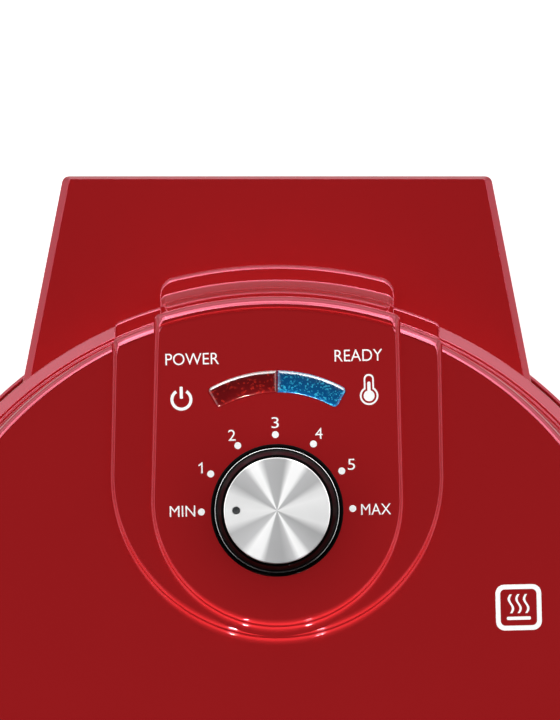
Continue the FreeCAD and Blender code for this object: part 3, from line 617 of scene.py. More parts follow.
# Glass-fibre and ceramic insulation: chalky off-white.
INSULATION = Finish(
    "insulation_sleeve_woven_glass", "d8d4c8", "c9c4b6", 0.85, rough_spread=0.1, grain_mm=0.5,
    grain_depth_mm=0.08,
)
# Copper capillary bulb with a brown heat tint.
COPPER = Finish(
    "copper_drawn_heat_tinted", "a4683f", "b9794c", 0.35, rough_spread=0.2, grain_mm=1.0,
    grain_depth_mm=0.006,
    metallic=1.0,
)
# Clear lamp glass, frosted by its moulding.
LAMP_GLASS = Finish(
    "lamp_polycarbonate_clear", "d9dadb", "e4e4e4", 0.12, grain_mm=2.0, grain_depth_mm=0.004, ior=1.58,
    extra={"Transmission Weight": 0.6},
)
# Knob: black ABS, high gloss, turned by many fingers.
KNOB_ABS = Finish(
    "abs_black_polished_mould", "010101", "030303", 0.4, rough_spread=0.1, grain_mm=6.0, grain_depth_mm=0.003,
    extra={"Specular IOR Level": 0.02},
)
# Bright ring pressed into the knob: electroplated, almost a mirror.
PLATED_RING = Finish(
    "chrome_plated_ring", "c9cacb", "d4d4d5", 0.2, rough_spread=0.1, grain_mm=1.0, grain_depth_mm=0.002,
    metallic=1.0,
)
# Cap: turned aluminium disc; its colour carries painted reflection in fan-shaped sectors.
CAP_ALUMINIUM = SpunAluminium(
    "aluminium_spun_cap", "e0e0e1", "e8e8e8", 0.32, rough_spread=0.12, grain_mm=0.3, grain_depth_mm=0.006,
    metallic=1.0, extra={"Anisotropic": 0.85},
)
# Pointer dot: dark paint in the cap's drilled dimple.
DOT_PAINT = Finish("enamel_paint_dark_grey", "3c3e40", "46484a", 0.45, grain_mm=0.3, grain_depth_mm=0.01)
# Power window: dark ruby acrylic, unlit. Its lighter red specks are painted glints.
RUBY_LENS = GlitterLens(
    "acrylic_ruby_prism_backed", "5c0f12", "7a1215", 0.1, rough_spread=0.06, cloud_mm=6.0, ior=1.49, coat=1.0,
    speck_tone="b3261f", speck_mm=0.5, speck_share=0.22, grain_depth_mm=0.02,
)
# Ready window: blue acrylic whose glitter is painted glints, cyan specks in its colour.
BLUE_LENS = GlitterLens(
    "acrylic_blue_prism_backed", "063f73", "0a5c93", 0.12, rough_spread=0.06, ior=1.49, coat=1.0,
    speck_tone="35b4dc", speck_mm=0.42, speck_share=0.3, grain_depth_mm=0.05,
)
# Screen-printed ink: opaque white with a slight tooth.
WHITE_INK = Finish(
    "ink_white_screen_printed", "ffffff", "f6f6f6", 0.5, rough_spread=0.1, grain_mm=0.4, grain_depth_mm=0.004,
)

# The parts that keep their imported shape, by finish.
CARRIED: tuple[tuple[Finish, tuple[str, ...]], ...] = (
    (BLACK_PP, ("bottom_cover", "cord_inlet", "lamp_holder")),
    (ZINC_STEEL, (
        "bottom_cover_screws", "lower_plate_screws", "upper_plate_screws", "hinge_pins",
        "control_panel_screws",
        "thermostat_shaft",
    )),
    (NONSTICK, ("lower_waffle_plate", "upper_waffle_plate")),
    (HEATER_STEEL, ("lower_heating_element", "upper_heating_element", "thermostat_body")),
    (ALUMINIUM_SHEET, ("lower_heat_shield", "upper_heat_shield", "thermostat_bracket")),
    (INSULATION, ("wire_conduit", "terminal_block", "thermal_fuse")),
    (LAMP_GLASS, ("power_lamp", "ready_lamp")),
    (COPPER, ("thermostat_sensor",)),
)


def dress(obj: Piece, finish: Finish) -> None:
    """Gives a whole object one finish."""
    obj.data.materials.clear()
    obj.data.materials.append(finish.material())


def finish_piece(
    obj: Piece, body: Body, finish: Finish, replaced: Sequence[str] = ()
) -> Piece:
    """Dresses a new piece and ties it to the frame.

    Args:
        obj: The piece.
        body: The rigid body that it rides on.
        finish: Its surface.
        replaced: CAD nodes that it is shown instead of.

    Returns:
        The piece.
    """
    dress(obj, finish)
    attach(obj, body.value)
    if replaced:
        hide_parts(*replaced)
    LOG.info("%-22s rides on %-5s %6d faces", obj.name, body.value, len(obj.data.polygons))
    return obj


# Places ------------------------------------------------------------------------------------------


@dataclass(frozen=True)
class Datum:
    """Places that every sub-assembly is built from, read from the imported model."""

    plate_y: float
    base_radius: float
    base_bottom: float
    base_top: float
    base_back: float
    lid_radius: float
    lid_bottom: float
    lid_top: float
    step_top: float
    panel_top: float
    cover_back: float
    tab_back: float
    dial_y: float
    dial_bottom: float
    dial_top: float
    dial_radius: float
    hinge_y: float
    hinge_z: float

    @classmethod
    def from_frame(cls) -> "Datum":
        """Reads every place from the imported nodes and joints."""
        base_low, base_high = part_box("base_shell")
        lid_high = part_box("lid_shell")[1]
        plate_low, plate_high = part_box("lower_waffle_plate")
        panel_low, panel_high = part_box("control_panel")
        knob_low, knob_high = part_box("dial_body")
        cap_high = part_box("dial_cap")[1]
        hinge = next(j for j in frame["joints"] if j["name"] == "lid_hinge")["pos_m"]
        step = panel_high.z - lid_high.z
        parting = (plate_high.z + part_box("upper_waffle_plate")[0].z) / 2.0
        gap = mm(0.4)
        return cls(
            plate_y=(plate_low.y + plate_high.y) / 2.0,
            base_radius=base_high.x,
            base_bottom=base_low.z,
            base_top=parting - gap,
            base_back=base_high.y,
            lid_radius=lid_high.x,
            lid_bottom=parting + gap,
            lid_top=lid_high.z - step,
            step_top=lid_high.z,
            panel_top=panel_high.z,
            cover_back=lid_high.y,
            tab_back=panel_high.y,
            dial_y=(knob_low.y + knob_high.y) / 2.0,
            dial_bottom=knob_low.z,
            dial_top=cap_high.z,
            dial_radius=knob_high.x,
            hinge_y=hinge[1],
            hinge_z=hinge[2],
        )


@dataclass(frozen=True)
class ULevel:
    """One loop of a raised U in metres. Its back may lie at another height than its sides and nose."""

    z: float
    back_z: float
    half_width: float
    half_back: float
    arc_y: float
    nose: float
    back_radius: float
    corner: float

    def loop(self, plate_y: float) -> Loop:
        """The loop's points about the plates' centre.

        Args:
            plate_y: The plates' centre along Y.

        Returns:
            Points from the nose, up the right side, across the back and down the left side.
        """
        inner = self.back_radius - self.corner
        corner_x = self.half_back - self.corner
        corner_y = math.sqrt(inner * inner - corner_x * corner_x)
        right: list[Corner] = []
        for turn in turns(NOSE_STEPS, QUARTER_TURN):
            right.append((self.half_width * math.sin(turn), self.arc_y - self.nose * math.cos(turn), 0.0))
        for share in (k / SIDE_STEPS for k in range(SIDE_STEPS)):
            x = self.half_width + (self.half_back - self.half_width) * share
            right.append((x, self.arc_y + (corner_y - self.arc_y) * share, 0.0))
        lean = math.atan2(corner_y, corner_x)
        for turn in turns(CORNER_STEPS, lean):
            place = (corner_x + self.corner * math.cos(turn), corner_y + self.corner * math.sin(turn))
            right.append((*place, turn / lean))
        for x, y in polar(ORIGIN, self.back_radius, turns(BACK_STEPS, QUARTER_TURN - lean, lean)):
            right.append((x, y, 1.0))
        left = [(-x, y, share) for x, y, share in reversed(right[1:])]
        outline = right + [(0.0, self.back_radius, 1.0)] + left
        return [Vector((x, plate_y + y, self.z + (self.back_z - self.z) * share)) for x, y, share in outline]


def quarter_ellipse(reach: float, run: float, rise: float, steps: int = 13) -> list[Flat]:
    """A crest that bends from upright at a reach to level, as (reach, height below the top) points."""
    bends = turns(steps, QUARTER_TURN, last=True)
    return [(reach - run * (1.0 - math.cos(t)), rise * (1.0 - math.sin(t))) for t in bends]


@dataclass(frozen=True)
class RaisedU:
    """A step shaped like a U: a foot fillet, a steep side and a crest fillet, wider at the nose.

    Sizes are in millimetres. The back has its own path of (reach, height below the step's top) points, which
    has as many points as the side's path.
    """

    half_width: float
    half_back: float
    arc_y: float
    nose: float
    corner: float
    rise: float
    nose_spread: float
    side_run: float = 0.55
    fillet: float = 0.42
    tread: float = 0.35

    def levels(self, foot_z: float, back_path: Sequence[Flat]) -> list[ULevel]:
        """The loops from below the foot to the flat top.

        Args:
            foot_z: Height of the surface that the step stands on, in metres.
            back_path: (reach, height below the top) points of the back.

        Returns:
            One level for each point.
        """
        middle, half_rise = 0.5 * self.side_run, 0.5 * self.rise
        side = [(-0.6, -0.1)] + rounded_path([
            (-0.6, 0.004, 0.0), (0.0, 0.0, self.fillet), (middle - 0.03, half_rise - 0.02, 0.0),
            (middle + 0.03, half_rise + 0.02, 0.0), (self.side_run, self.rise, self.fillet),
            (self.side_run + 0.8, self.rise, 0.0),
        ], closed=False, steps=FILLET_STEPS)
        missing = len(side) - len(back_path)
        back_path = [*back_path, *((back_path[-1][0] - 0.1 * (k + 1), 0.0) for k in range(missing))]
        side += [(self.side_run + 0.8 + 0.25 * (k + 1), self.rise) for k in range(-missing)]
        top = foot_z + mm(self.rise)
        return [
            ULevel(
                foot_z + mm(height), top - mm(drop), mm(self.half_width - inset), mm(self.half_back - inset),
                mm(self.arc_y), mm(self.nose_reach(inset, height)), mm(reach), mm(self.corner),
            )
            for (inset, height), (reach, drop) in zip(side, back_path)
        ]

    def nose_reach(self, inset: float, height: float) -> float:
        """How far the nose stands out at one level, where a narrow tread splits its slope in two."""
        tread = self.tread if height > 0.5 * self.rise else 0.0
        return self.nose - self.nose_spread * inset - tread


# Base --------------------------------------------------------------------------------------------


@dataclass
class BaseShell:
    """Bowl under the lower plate, with the block behind it that carries the hinge."""

    datum: Datum
    wall: float = 2.6
    mouth: float = 92.3
    floor_radius: float = 99.0
    seat_radius: float = 98.0
    seat_drop: float = 3.6
    half_front: float = 67.9
    front: float = 89.4
    half_back: float = 57.0
    back: float = 138.0
    sweep: float = 21.6
    inlet: Flat = (26.0, 15.0)
    inlet_radius: float = 6.25
    bend_height: float = 18.0
    waist_height: float = 25.0
    ear_span: Flat = (25.0, 35.0)
    ear_web: Flat = (-15.0, -6.0)
    ear_drop: float = 17.0

    def build(self) -> Piece:
        """Makes the whole base shell as one closed mesh."""
        shell = self.bowl()
        combine(shell, [self.rear_block(0.0)], Cut.JOIN)
        inside = self.rear_block(self.wall)
        combine(inside, [self.round_clearance()], Cut.REMOVE)
        combine(shell, [self.bowl_hollow(), inside, self.inlet_hole()], Cut.REMOVE)
        web_z = self.datum.hinge_z - mm(self.ear_drop)
        ears = [cheek("hinge_ear", self.datum, side, self.ear_span, web_z, self.ear_web) for side in SIDES]
        combine(shell, ears, Cut.JOIN)
        shade(shell)
        return finish_piece(shell, Body.BASE, RED_ABS, ["base_shell"])

    def bowl(self) -> Piece:
        """The round body with its rolled floor edge and swelling wall."""
        d = self.datum
        low, high, rim = d.base_bottom, d.base_top, d.base_radius
        path = rounded_path([
            (mm(4.0), low, 0.0), (mm(self.floor_radius), low, mm(3.0)),
            (mm(self.floor_radius + 5.5), low + mm(3.0), mm(5.0)),
            (rim - mm(1.6), low + mm(self.bend_height), mm(14.0)),
            (rim, low + mm(self.waist_height), mm(10.0)), (rim, high, mm(1.0)), (rim - mm(4.0), high, 0.0),
        ], closed=False, steps=8)
        return lathe("base_shell_moulding", path, (0.0, d.plate_y))

    def bowl_hollow(self) -> Piece:
        """The space inside the bowl, with the ledge that the plate sits on."""
        d = self.datum
        low, high, wide = d.base_bottom, d.base_top, d.base_radius - mm(self.wall)
        seat = high - mm(self.seat_drop)
        path = [
            (mm(4.0), low - mm(1.0)), (mm(self.mouth), low - mm(1.0)), (mm(self.mouth), low + mm(self.wall)),
            (mm(self.floor_radius + 3.5), low + mm(5.2)), (wide - mm(1.6), low + mm(self.bend_height)),
            (wide, low + mm(self.waist_height)), (wide, seat - mm(self.wall)),
            (mm(self.seat_radius), seat - mm(self.wall)), (mm(self.seat_radius), seat), (wide, seat),
            (wide, high - mm(0.4)), (wide + mm(0.4), high + mm(0.02)), (wide + mm(0.4), high + mm(1.0)),
            (mm(4.0), high + mm(1.0)),
        ]
        return lathe("bowl_hollow", path, (0.0, d.plate_y))

    def round_clearance(self) -> Piece:
        """A plain round plug that keeps the rear block's space out of the bowl."""
        d = self.datum
        reach = d.base_radius - mm(self.wall + 0.05)
        return lathe("round_clearance", [(reach, 0.0), (reach, d.base_top + mm(9.0))], (0.0, d.plate_y))

    def rear_block(self, inset: float) -> Piece:
        """The tapering block, cut back where the lid's cover swings down.

        Args:
            inset: 0 for the outside, the wall's thickness for the inside, in millimetres.

        Returns:
            The block.
        """
        d = self.datum
        low, high = d.base_bottom + mm(inset), d.base_top - mm(inset)
        edge = 0.0 if inset else 1.4
        loops = [self.block_loop(inset + draw, low + mm(rise)) for draw, rise in rolled_edge(edge, 4)]
        if inset:
            loops = loops[:1]
        loops.append(self.block_loop(inset, high - mm(0.5 * edge)))
        if not inset:
            loops.append(self.block_loop(0.35, high - mm(0.2)))
            loops.append(self.block_loop(0.9, high))
        block = skin_loops("rear_block", loops)
        return combine(block, [self.swing(self.sweep + inset)], Cut.REMOVE)

    def block_loop(self, inset: float, z: float) -> Loop:
        """The block's outline at one height, run well inside the bowl."""
        d = self.datum
        slope = (self.half_front - self.half_back) / (self.back - self.front)
        inside_y = 60.0
        half_inside = self.half_front + slope * (self.front - inside_y) - inset
        corner = max(0.4, 3.0 - inset)
        path = rounded_path([
            (half_inside, inside_y, 0.0), (self.half_back - inset, self.back - inset, corner),
            (-self.half_back + inset, self.back - inset, corner), (-half_inside, inside_y, 0.0),
        ], closed=False, steps=6)
        return level_loop(path, d.plate_y, z)

    def swing(self, sweep: float) -> Piece:
        """The space that the lid's cover needs when it swings down behind the base."""
        d = self.datum
        front = 10.0 + sweep - self.sweep
        first = math.acos(front / sweep)
        arc = polar(ORIGIN, -sweep, turns(16, QUARTER_TURN - first, first, last=True))
        outline = [(-front, 20.0), *arc, (40.0, -sweep), (40.0, 20.0)]
        section = [(d.hinge_y + mm(y), d.hinge_z + mm(z)) for y, z in outline]
        return skin_loops("swing", [[Vector((side * mm(90.0), y, z)) for y, z in section] for side in SIDES])

    def inlet_hole(self) -> Piece:
        """The hole for the cord's bush."""
        d = self.datum
        circle = polar(self.inlet, self.inlet_radius, turns(48))
        ends = [d.plate_y + mm(y) for y in (self.back - 10.0, self.back + 5.0)]
        return skin_loops("inlet_hole", [[Vector((mm(x), y, mm(z))) for x, z in circle] for y in ends])


@dataclass
class Handles:
    """The two phenolic grips that stand out in front, one over the other."""

    datum: Datum
    half_root: float = 30.0
    half_tip: float = 23.0
    root: float = 96.0
    tip_corner: float = 9.0
    roll: float = 3.0

    def build(self) -> None:
        """Makes both grips."""
        self.grip("upper_grip", "upper_handle", Body.LID, self.datum.lid_radius)
        self.grip("lower_grip", "lower_handle", Body.BASE, self.datum.base_radius)

    def grip(self, name: str, node: str, body: Body, body_radius: float) -> Piece:
        """One grip with rolled edges and a shallow hollow for the thumb.

        Args:
            name: The new piece's name.
            node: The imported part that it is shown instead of.
            body: The rigid body that it rides on.
            body_radius: Radius of the round body that its root is fitted to.

        Returns:
            The finished grip.
        """
        d = self.datum
        low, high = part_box(node)
        reach = (d.plate_y - low.y) * 1000.0
        edge = rolled_edge(self.roll, 6)
        levels = [(inset, low.z + mm(rise)) for inset, rise in edge]
        levels += [(inset, high.z - mm(rise)) for inset, rise in reversed(edge)]
        loops = [self.outline(reach, inset, z) for inset, z in levels]
        grip = skin_loops(name, loops)
        body_loops = [(body_radius - mm(0.2), low.z - mm(5.0)), (body_radius - mm(0.2), high.z + mm(5.0))]
        thumb = self.thumb_hollow(reach, high.z)
        combine(grip, [lathe("root_cut", body_loops, (0.0, d.plate_y)), thumb], Cut.REMOVE)
        return finish_piece(shade(grip), body, PHENOLIC, [node])

    def outline(self, reach: float, inset: float, z: float) -> Loop:
        """The grip's plan at one height."""
        corner = max(1.0, self.tip_corner - inset)
        path = rounded_path([
            (-self.half_root + inset, -self.root, 0.0), (-self.half_tip + inset, -reach + inset, corner),
            (self.half_tip - inset, -reach + inset, corner), (self.half_root - inset, -self.root, 0.0),
        ], closed=False, steps=10)
        return level_loop(path, self.datum.plate_y, z)

    def thumb_hollow(self, reach: float, top: float) -> Piece:
        """A shallow dish in the grip's top, as a cutting shape."""
        d = self.datum
        profile = [(0.3, -1.1), (4.0, -1.0), (7.5, -0.7), (10.5, -0.25), (12.5, 0.1), (12.5, 2.0), (0.3, 2.0)]
        path = [(mm(r), top + mm(z)) for r, z in profile]
        return lathe("thumb_hollow", path, (0.0, d.plate_y - mm(reach - 22.0)), steps=96)


@dataclass
class Feet:
    """Four tapered rubber feet with a moulded ring under each."""

    datum: Datum
    radius: float = 9.0
    front: Flat = (44.0, -62.0)
    rear: Flat = (43.0, 124.0)

    def build(self) -> Piece:
        """Makes the feet as one piece."""
        places = [(side * x, y) for x, y in (self.front, self.rear) for side in SIDES]
        first, *others = [self.foot(x, y) for x, y in places]
        combine(first, others, Cut.JOIN)
        return finish_piece(shade(first), Body.BASE, FOOT_RUBBER, ["rubber_feet"])

    def foot(self, x: float, y: float) -> Piece:
        """One foot: a tapered pad, hollowed below, on its stem."""
        d = self.datum
        top = d.base_bottom
        path = rounded_path([
            (mm(0.5), mm(0.9), 0.0), (mm(4.4), mm(0.9), mm(0.2)), (mm(5.0), 0.0, mm(0.3)),
            (mm(self.radius - 1.6), 0.0, mm(0.6)), (mm(self.radius), top - mm(0.02), mm(0.4)),
            (mm(3.0), top - mm(0.02), 0.0), (mm(3.0), top + mm(2.7), 0.0), (mm(3.9), top + mm(2.7), mm(0.1)),
            (mm(2.4), top + mm(4.7), mm(0.3)), (mm(0.5), top + mm(4.7), 0.0),
        ], closed=False, steps=4)
        return lathe("rubber_foot", path, (mm(x), d.plate_y + mm(y)), steps=64)


# Lid ---------------------------------------------------------------------------------------------


@dataclass
class LidShell:
    """Domed lid with its rim, the raised U step and the hinge cover behind it."""

    datum: Datum
    rim_height: float = 20.2
    rim_chamfer: float = 2.8
    top_radius: float = 102.9
    top_shift: float = 5.0
    wall: float = 2.6
    cover_chamfer: float = 1.7
    back_share: float = 0.45
    cover_half_back: float = 59.1
    cover_half_front: float = 69.9
    cover_front: float = 89.4
    step_half: float = 45.5
    step_arc: float = 61.3
    step_nose: float = 45.5
    ledge_rise: float = 4.2
    ledge_reach: float = 112.5
    lug_span: Flat = (36.0, 46.0)
    lug_web: Flat = (-9.0, 9.0)
    ledge: float = 0.9

    def build(self) -> Piece:
        """Makes the whole shell as one closed mesh."""
        shell = self.dome()
        combine(shell, [self.hinge_cover(), self.step(), *self.lugs()], Cut.JOIN)
        shade(shell)
        return finish_piece(shell, Body.LID, RED_ABS, ["lid_shell"])

    def lean(self, z: float) -> float:
        """How far the section at a height is set towards the hinge."""
        d = self.datum
        low = d.lid_bottom + mm(self.rim_height)
        share = (z - low) / (d.lid_top - low)
        return mm(self.top_shift) * min(1.0, max(0.0, share))

    def dome(self) -> Piece:
        """Rim, leaning wall and flat top, with the hollow below."""
        d = self.datum
        top, low = d.lid_top, d.lid_bottom
        rim_top = low + mm(self.rim_height)
        rim = d.lid_radius
        wall = mm(self.wall)
        crest = mm(self.top_radius)
        outer = rounded_path([
            (crest - mm(6.0), top, 0.0),
            (crest, top, mm(2.6)),
            (rim - mm(self.rim_chamfer + self.ledge), rim_top, mm(0.4)),
            (rim - mm(self.rim_chamfer), rim_top, mm(0.3)),
            (rim, rim_top - mm(self.rim_chamfer), mm(0.5)),
            (rim, low, mm(0.5)),
            (rim - wall, low, 0.0),
        ], closed=False, steps=10)
        inner = [
            (rim - wall, d.hinge_z + mm(13.4)),
            (rim - 2.4 * wall, rim_top - wall),
            (crest - 1.4 * wall, top - wall),
            (crest - mm(12.0), top - wall),
        ]
        support = [(crest - mm(14.0), top)]
        return lathe("lid_shell_moulding", support + outer + inner, (0.0, d.plate_y), shift=self.lean)

    def cover_loop(self, inset: float, z: float, front_radius: float) -> Loop:
        """Outline of the tapering hinge cover at one inset.

        Args:
            inset: How far the outline is drawn in, in metres.
            z: The loop's height.
            front_radius: Radius of the round front that runs inside the rim.

        Returns:
            The closed loop.
        """
        d = self.datum
        run = (d.cover_back - d.plate_y) - mm(self.cover_front)
        slope = mm(self.cover_half_front - self.cover_half_back) / run
        back = d.cover_back - d.plate_y - inset * self.back_share
        half_back = mm(self.cover_half_back) - inset
        front_y = math.sqrt(front_radius ** 2 - (mm(self.cover_half_front) - inset) ** 2)
        half_front = half_back + slope * (back - front_y)
        front_y = math.sqrt(front_radius ** 2 - half_front ** 2)
        corner = max(mm(0.6), mm(2.0) - inset)
        path = rounded_path([
            (half_front, front_y, 0.0), (half_back, back, corner),
            (-half_back, back, corner), (-half_front, front_y, 0.0),
        ], closed=False, steps=5)
        sides = divided(path, mm(30.0), 24, closed=False)
        first, last = math.atan2(front_y, -half_front), math.atan2(front_y, half_front)
        arc = polar(ORIGIN, front_radius, turns(64, last - first, first)[1:])
        return [Vector((x, d.plate_y + y, z)) for x, y in sides + arc]

    def hinge_cover(self) -> Piece:
        """The tapering cover behind the rim, open below for the hinge."""
        d = self.datum
        top = d.lid_top - mm(COVER_DROP)
        wall = mm(self.wall)
        in_wall = d.lid_radius - mm(1.4)
        hollow = d.lid_radius - mm(0.8)
        edge = mm(self.cover_chamfer)
        rolled = rounded_path([
            (edge + mm(4.0), top, 0.0), (edge, top, mm(0.45)), (0.0, top - edge, mm(0.45)),
            (0.0, d.lid_bottom + mm(0.45), 0.0), (mm(0.4), d.lid_bottom + mm(0.05), 0.0),
        ], closed=False, steps=5)
        levels = [(edge + mm(7.0), top)] + rolled
        loops = [self.cover_loop(inset, z, in_wall) for inset, z in levels]
        loops.append(self.cover_loop(wall, d.lid_bottom + mm(0.05), hollow))
        loops.append(self.cover_loop(wall, top - wall, hollow))
        return skin_loops("hinge_cover", loops)

    def step(self) -> Piece:
        """The outer raised U, with its stepped end over the rear wall."""
        d = self.datum
        cover_top = d.lid_top - mm(COVER_DROP)
        rise = (d.step_top - d.lid_top) * 1000.0
        shape = RaisedU(self.step_half, self.step_half - 0.7, self.step_arc, self.step_nose, 1.6, rise, 3.4)
        ledge = rounded_path([
            (self.ledge_reach, -1.0, 0.0), (self.ledge_reach, self.ledge_rise, 0.75),
            (108.7, self.ledge_rise, 0.35), (108.35, 20.0, 0.0),
        ], closed=False, steps=5)
        tabs = [
            ULevel(
                cover_top + mm(z), cover_top + mm(z), mm(self.step_half - 0.7), mm(self.step_half - 0.7),
                mm(99.0), mm(2.0), mm(reach), mm(1.6),
            )
            for reach, z in ledge
        ]
        back = [(108.33, rise + 0.1), *quarter_ellipse(108.32, 2.7, rise)]
        back += [(105.4, 0.0), (105.2, 0.0), (105.0, 0.0)]
        loops = [level.loop(d.plate_y) for level in tabs + shape.levels(d.lid_top, back)]
        return skin_loops("lid_step", loops)

    def lugs(self) -> list[Piece]:
        """The two cheeks that hang on the hinge pins."""
        roof = self.datum.lid_top - mm(COVER_DROP) - mm(1.0)
        return [cheek("lid_lug", self.datum, side, self.lug_span, roof, self.lug_web) for side in SIDES]


def cheek(name: str, datum: Datum, side: float, span: Flat, web_z: float, web_y: Flat) -> Piece:
    """One hinge cheek: a disc about the hinge axis on a web, with its pin hole.

    Args:
        name: The object's name.
        datum: The places.
        side: -1 for left, 1 for right.
        span: The cheek's inner and outer face along X, in millimetres.
        web_z: Height that the web runs to from the axis.
        web_y: The web's reach before and behind the axis, in millimetres.

    Returns:
        The closed cheek.
    """
    axle = (datum.hinge_y, datum.hinge_z)
    inner, outer = side * mm(span[0]), side * mm(span[1])
    edge = math.copysign(mm(CHEEK_EDGE), outer - inner)
    small = CHEEK_RADIUS - CHEEK_EDGE
    faces = ((small, inner), (CHEEK_RADIUS, inner + edge), (CHEEK_RADIUS, outer - edge), (small, outer))
    disc = skin_loops(name, [upright_circle(axle, mm(radius), x) for radius, x in faces])
    near, far = datum.hinge_y + mm(web_y[0]), datum.hinge_y + mm(web_y[1])
    outline = [(near, axle[1]), (far, axle[1]), (far, web_z), (near, web_z)]
    web = skin_loops("web", [[Vector((x, y, z)) for y, z in outline] for x in (inner, outer)])
    ends = (inner - 2.0 * edge, outer + 2.0 * edge)
    hole = skin_loops("pin_hole", [upright_circle(axle, mm(PIN_HOLE_RADIUS), x) for x in ends])
    return combine(combine(disc, [web], Cut.JOIN), [hole], Cut.REMOVE)


@dataclass
class ControlPanel:
    """Inner raised U that carries the dial, with its stepped tab over the hinge cover."""

    datum: Datum
    half: float = 34.4
    half_back: float = 33.2
    arc: float = 54.6
    nose: float = 35.6
    slot_inner: float = 32.2
    slot_outer: float = 38.7
    slot_half_angle: float = 30.4

    def build(self) -> Piece:
        """Makes the panel with the slot for the two windows."""
        panel = self.plate()
        combine(panel, [self.slot()], Cut.REMOVE)
        shade(panel)
        return finish_piece(panel, Body.LID, PANEL_ABS, ["control_panel"])

    def plate(self) -> Piece:
        """The panel's body as a stack of outlines."""
        d = self.datum
        cover_top = d.lid_top - mm(COVER_DROP)
        rise = (d.panel_top - d.step_top) * 1000.0
        step_z = (d.step_top - cover_top) * 1000.0
        tab_reach = (d.tab_back - d.plate_y) * 1000.0
        ledge = rounded_path([
            (tab_reach, 0.0, 0.0), (tab_reach, 4.0, 1.3), (115.1, 4.0, 0.8), (113.2, 6.6, 2.0),
            (110.75, step_z - 0.06, 0.0),
        ], closed=False, steps=5)
        tabs = [
            ULevel(
                cover_top + mm(z), cover_top + mm(z), mm(32.3), mm(32.3), mm(103.0), mm(2.0), mm(reach),
                mm(4.6 if reach > 116.5 else 2.6),
            )
            for reach, z in ledge
        ]
        shape = RaisedU(self.half, self.half_back, self.arc, self.nose, 2.0, rise, 3.0)
        back = [(110.7, rise + 0.05), *quarter_ellipse(110.65, 2.7, rise)]
        back += [(107.8, 0.0), (107.65, 0.24), (107.3, 0.26), (107.1, 0.02), (106.6, 0.0)]
        loops = [level.loop(d.plate_y) for level in tabs + shape.levels(d.step_top, back)]
        return skin_loops("control_panel_moulding", loops)

    def slot(self) -> Piece:
        """The arched slot that the windows sit in, as a cutting shape."""
        d = self.datum
        half, corner, inset = self.slot_half_angle, 1.4, 0.0
        return skin_loops("window_slot", [
            sector_loop(d, self.slot_inner, self.slot_outer, -half, half, corner, inset, z)
            for z in (d.step_top + mm(0.2), d.panel_top + mm(2.0))
        ])


def sector_loop(
    datum: Datum, inner: float, outer: float, start: float, end: float, corner: float, inset: float, z: float,
    sharp_start: bool = False, sharp_end: bool = False,
) -> Loop:
    """Outline of an arched window about the dial.

    Args:
        datum: The places.
        inner: Inner radius in millimetres.
        outer: Outer radius in millimetres.
        start: First edge in degrees clockwise from the hinge side.
        end: Last edge in degrees.
        corner: Corner radius in millimetres.
        inset: How far the outline is drawn in, in millimetres.
        z: The loop's height in metres.
        sharp_start: Whether the first edge keeps nearly sharp corners.
        sharp_end: Whether the last edge keeps nearly sharp corners.

    Returns:
        The closed loop.
    """
    middle = (inner + outer) / 2.0
    per_degree = math.radians(1.0) * middle
    low, high = start * per_degree + inset, end * per_degree - inset
    near, far = inner + inset, outer - inset
    first = 0.15 if sharp_start else max(0.2, corner - inset)
    last = 0.15 if sharp_end else max(0.2, corner - inset)
    corners = [(low, near, first), (high, near, last), (high, far, last), (low, far, first)]
    straight = divided(rounded_path(corners, steps=6), 5.0, 20, closed=True)
    bent = [(reach * math.sin(along / middle), reach * math.cos(along / middle)) for along, reach in straight]
    return level_loop(bent, datum.dial_y, z)


@dataclass
class LampWindows:
    """The two crowned windows, red for power and blue for ready, in one arched slot."""

    datum: Datum
    inner: float = 32.4
    outer: float = 38.5
    half_angle: float = 30.0
    split: float = 0.18

    def build(self) -> list[Piece]:
        """Makes both windows."""
        power = self.window("power_window", -self.half_angle, -self.split, False, True)
        ready = self.window("ready_window", self.split, self.half_angle, True, False)
        finish_piece(power, Body.LID, RUBY_LENS, ["power_lens"])
        finish_piece(ready, Body.LID, BLUE_LENS, ["ready_lens"])
        return [power, ready]

    def window(self, name: str, start: float, end: float, sharp_start: bool, sharp_end: bool) -> Piece:
        """One window: upright edge, rolled rim and a gently crowned top."""
        d = self.datum
        crown = [
            (0.0, -1.4), (0.0, 0.05), (0.1, 0.24), (0.26, 0.38), (0.48, 0.48), (0.74, 0.55), (1.1, 0.6),
            (1.7, 0.64), (2.4, 0.67),
        ]
        loops = [
            sector_loop(
                d, self.inner, self.outer, start, end, 1.2, inset, d.panel_top + mm(rise),
                sharp_start, sharp_end,
            )
            for inset, rise in crown
        ]
        return shade(skin_loops(name, loops))


# Dial --------------------------------------------------------------------------------------------


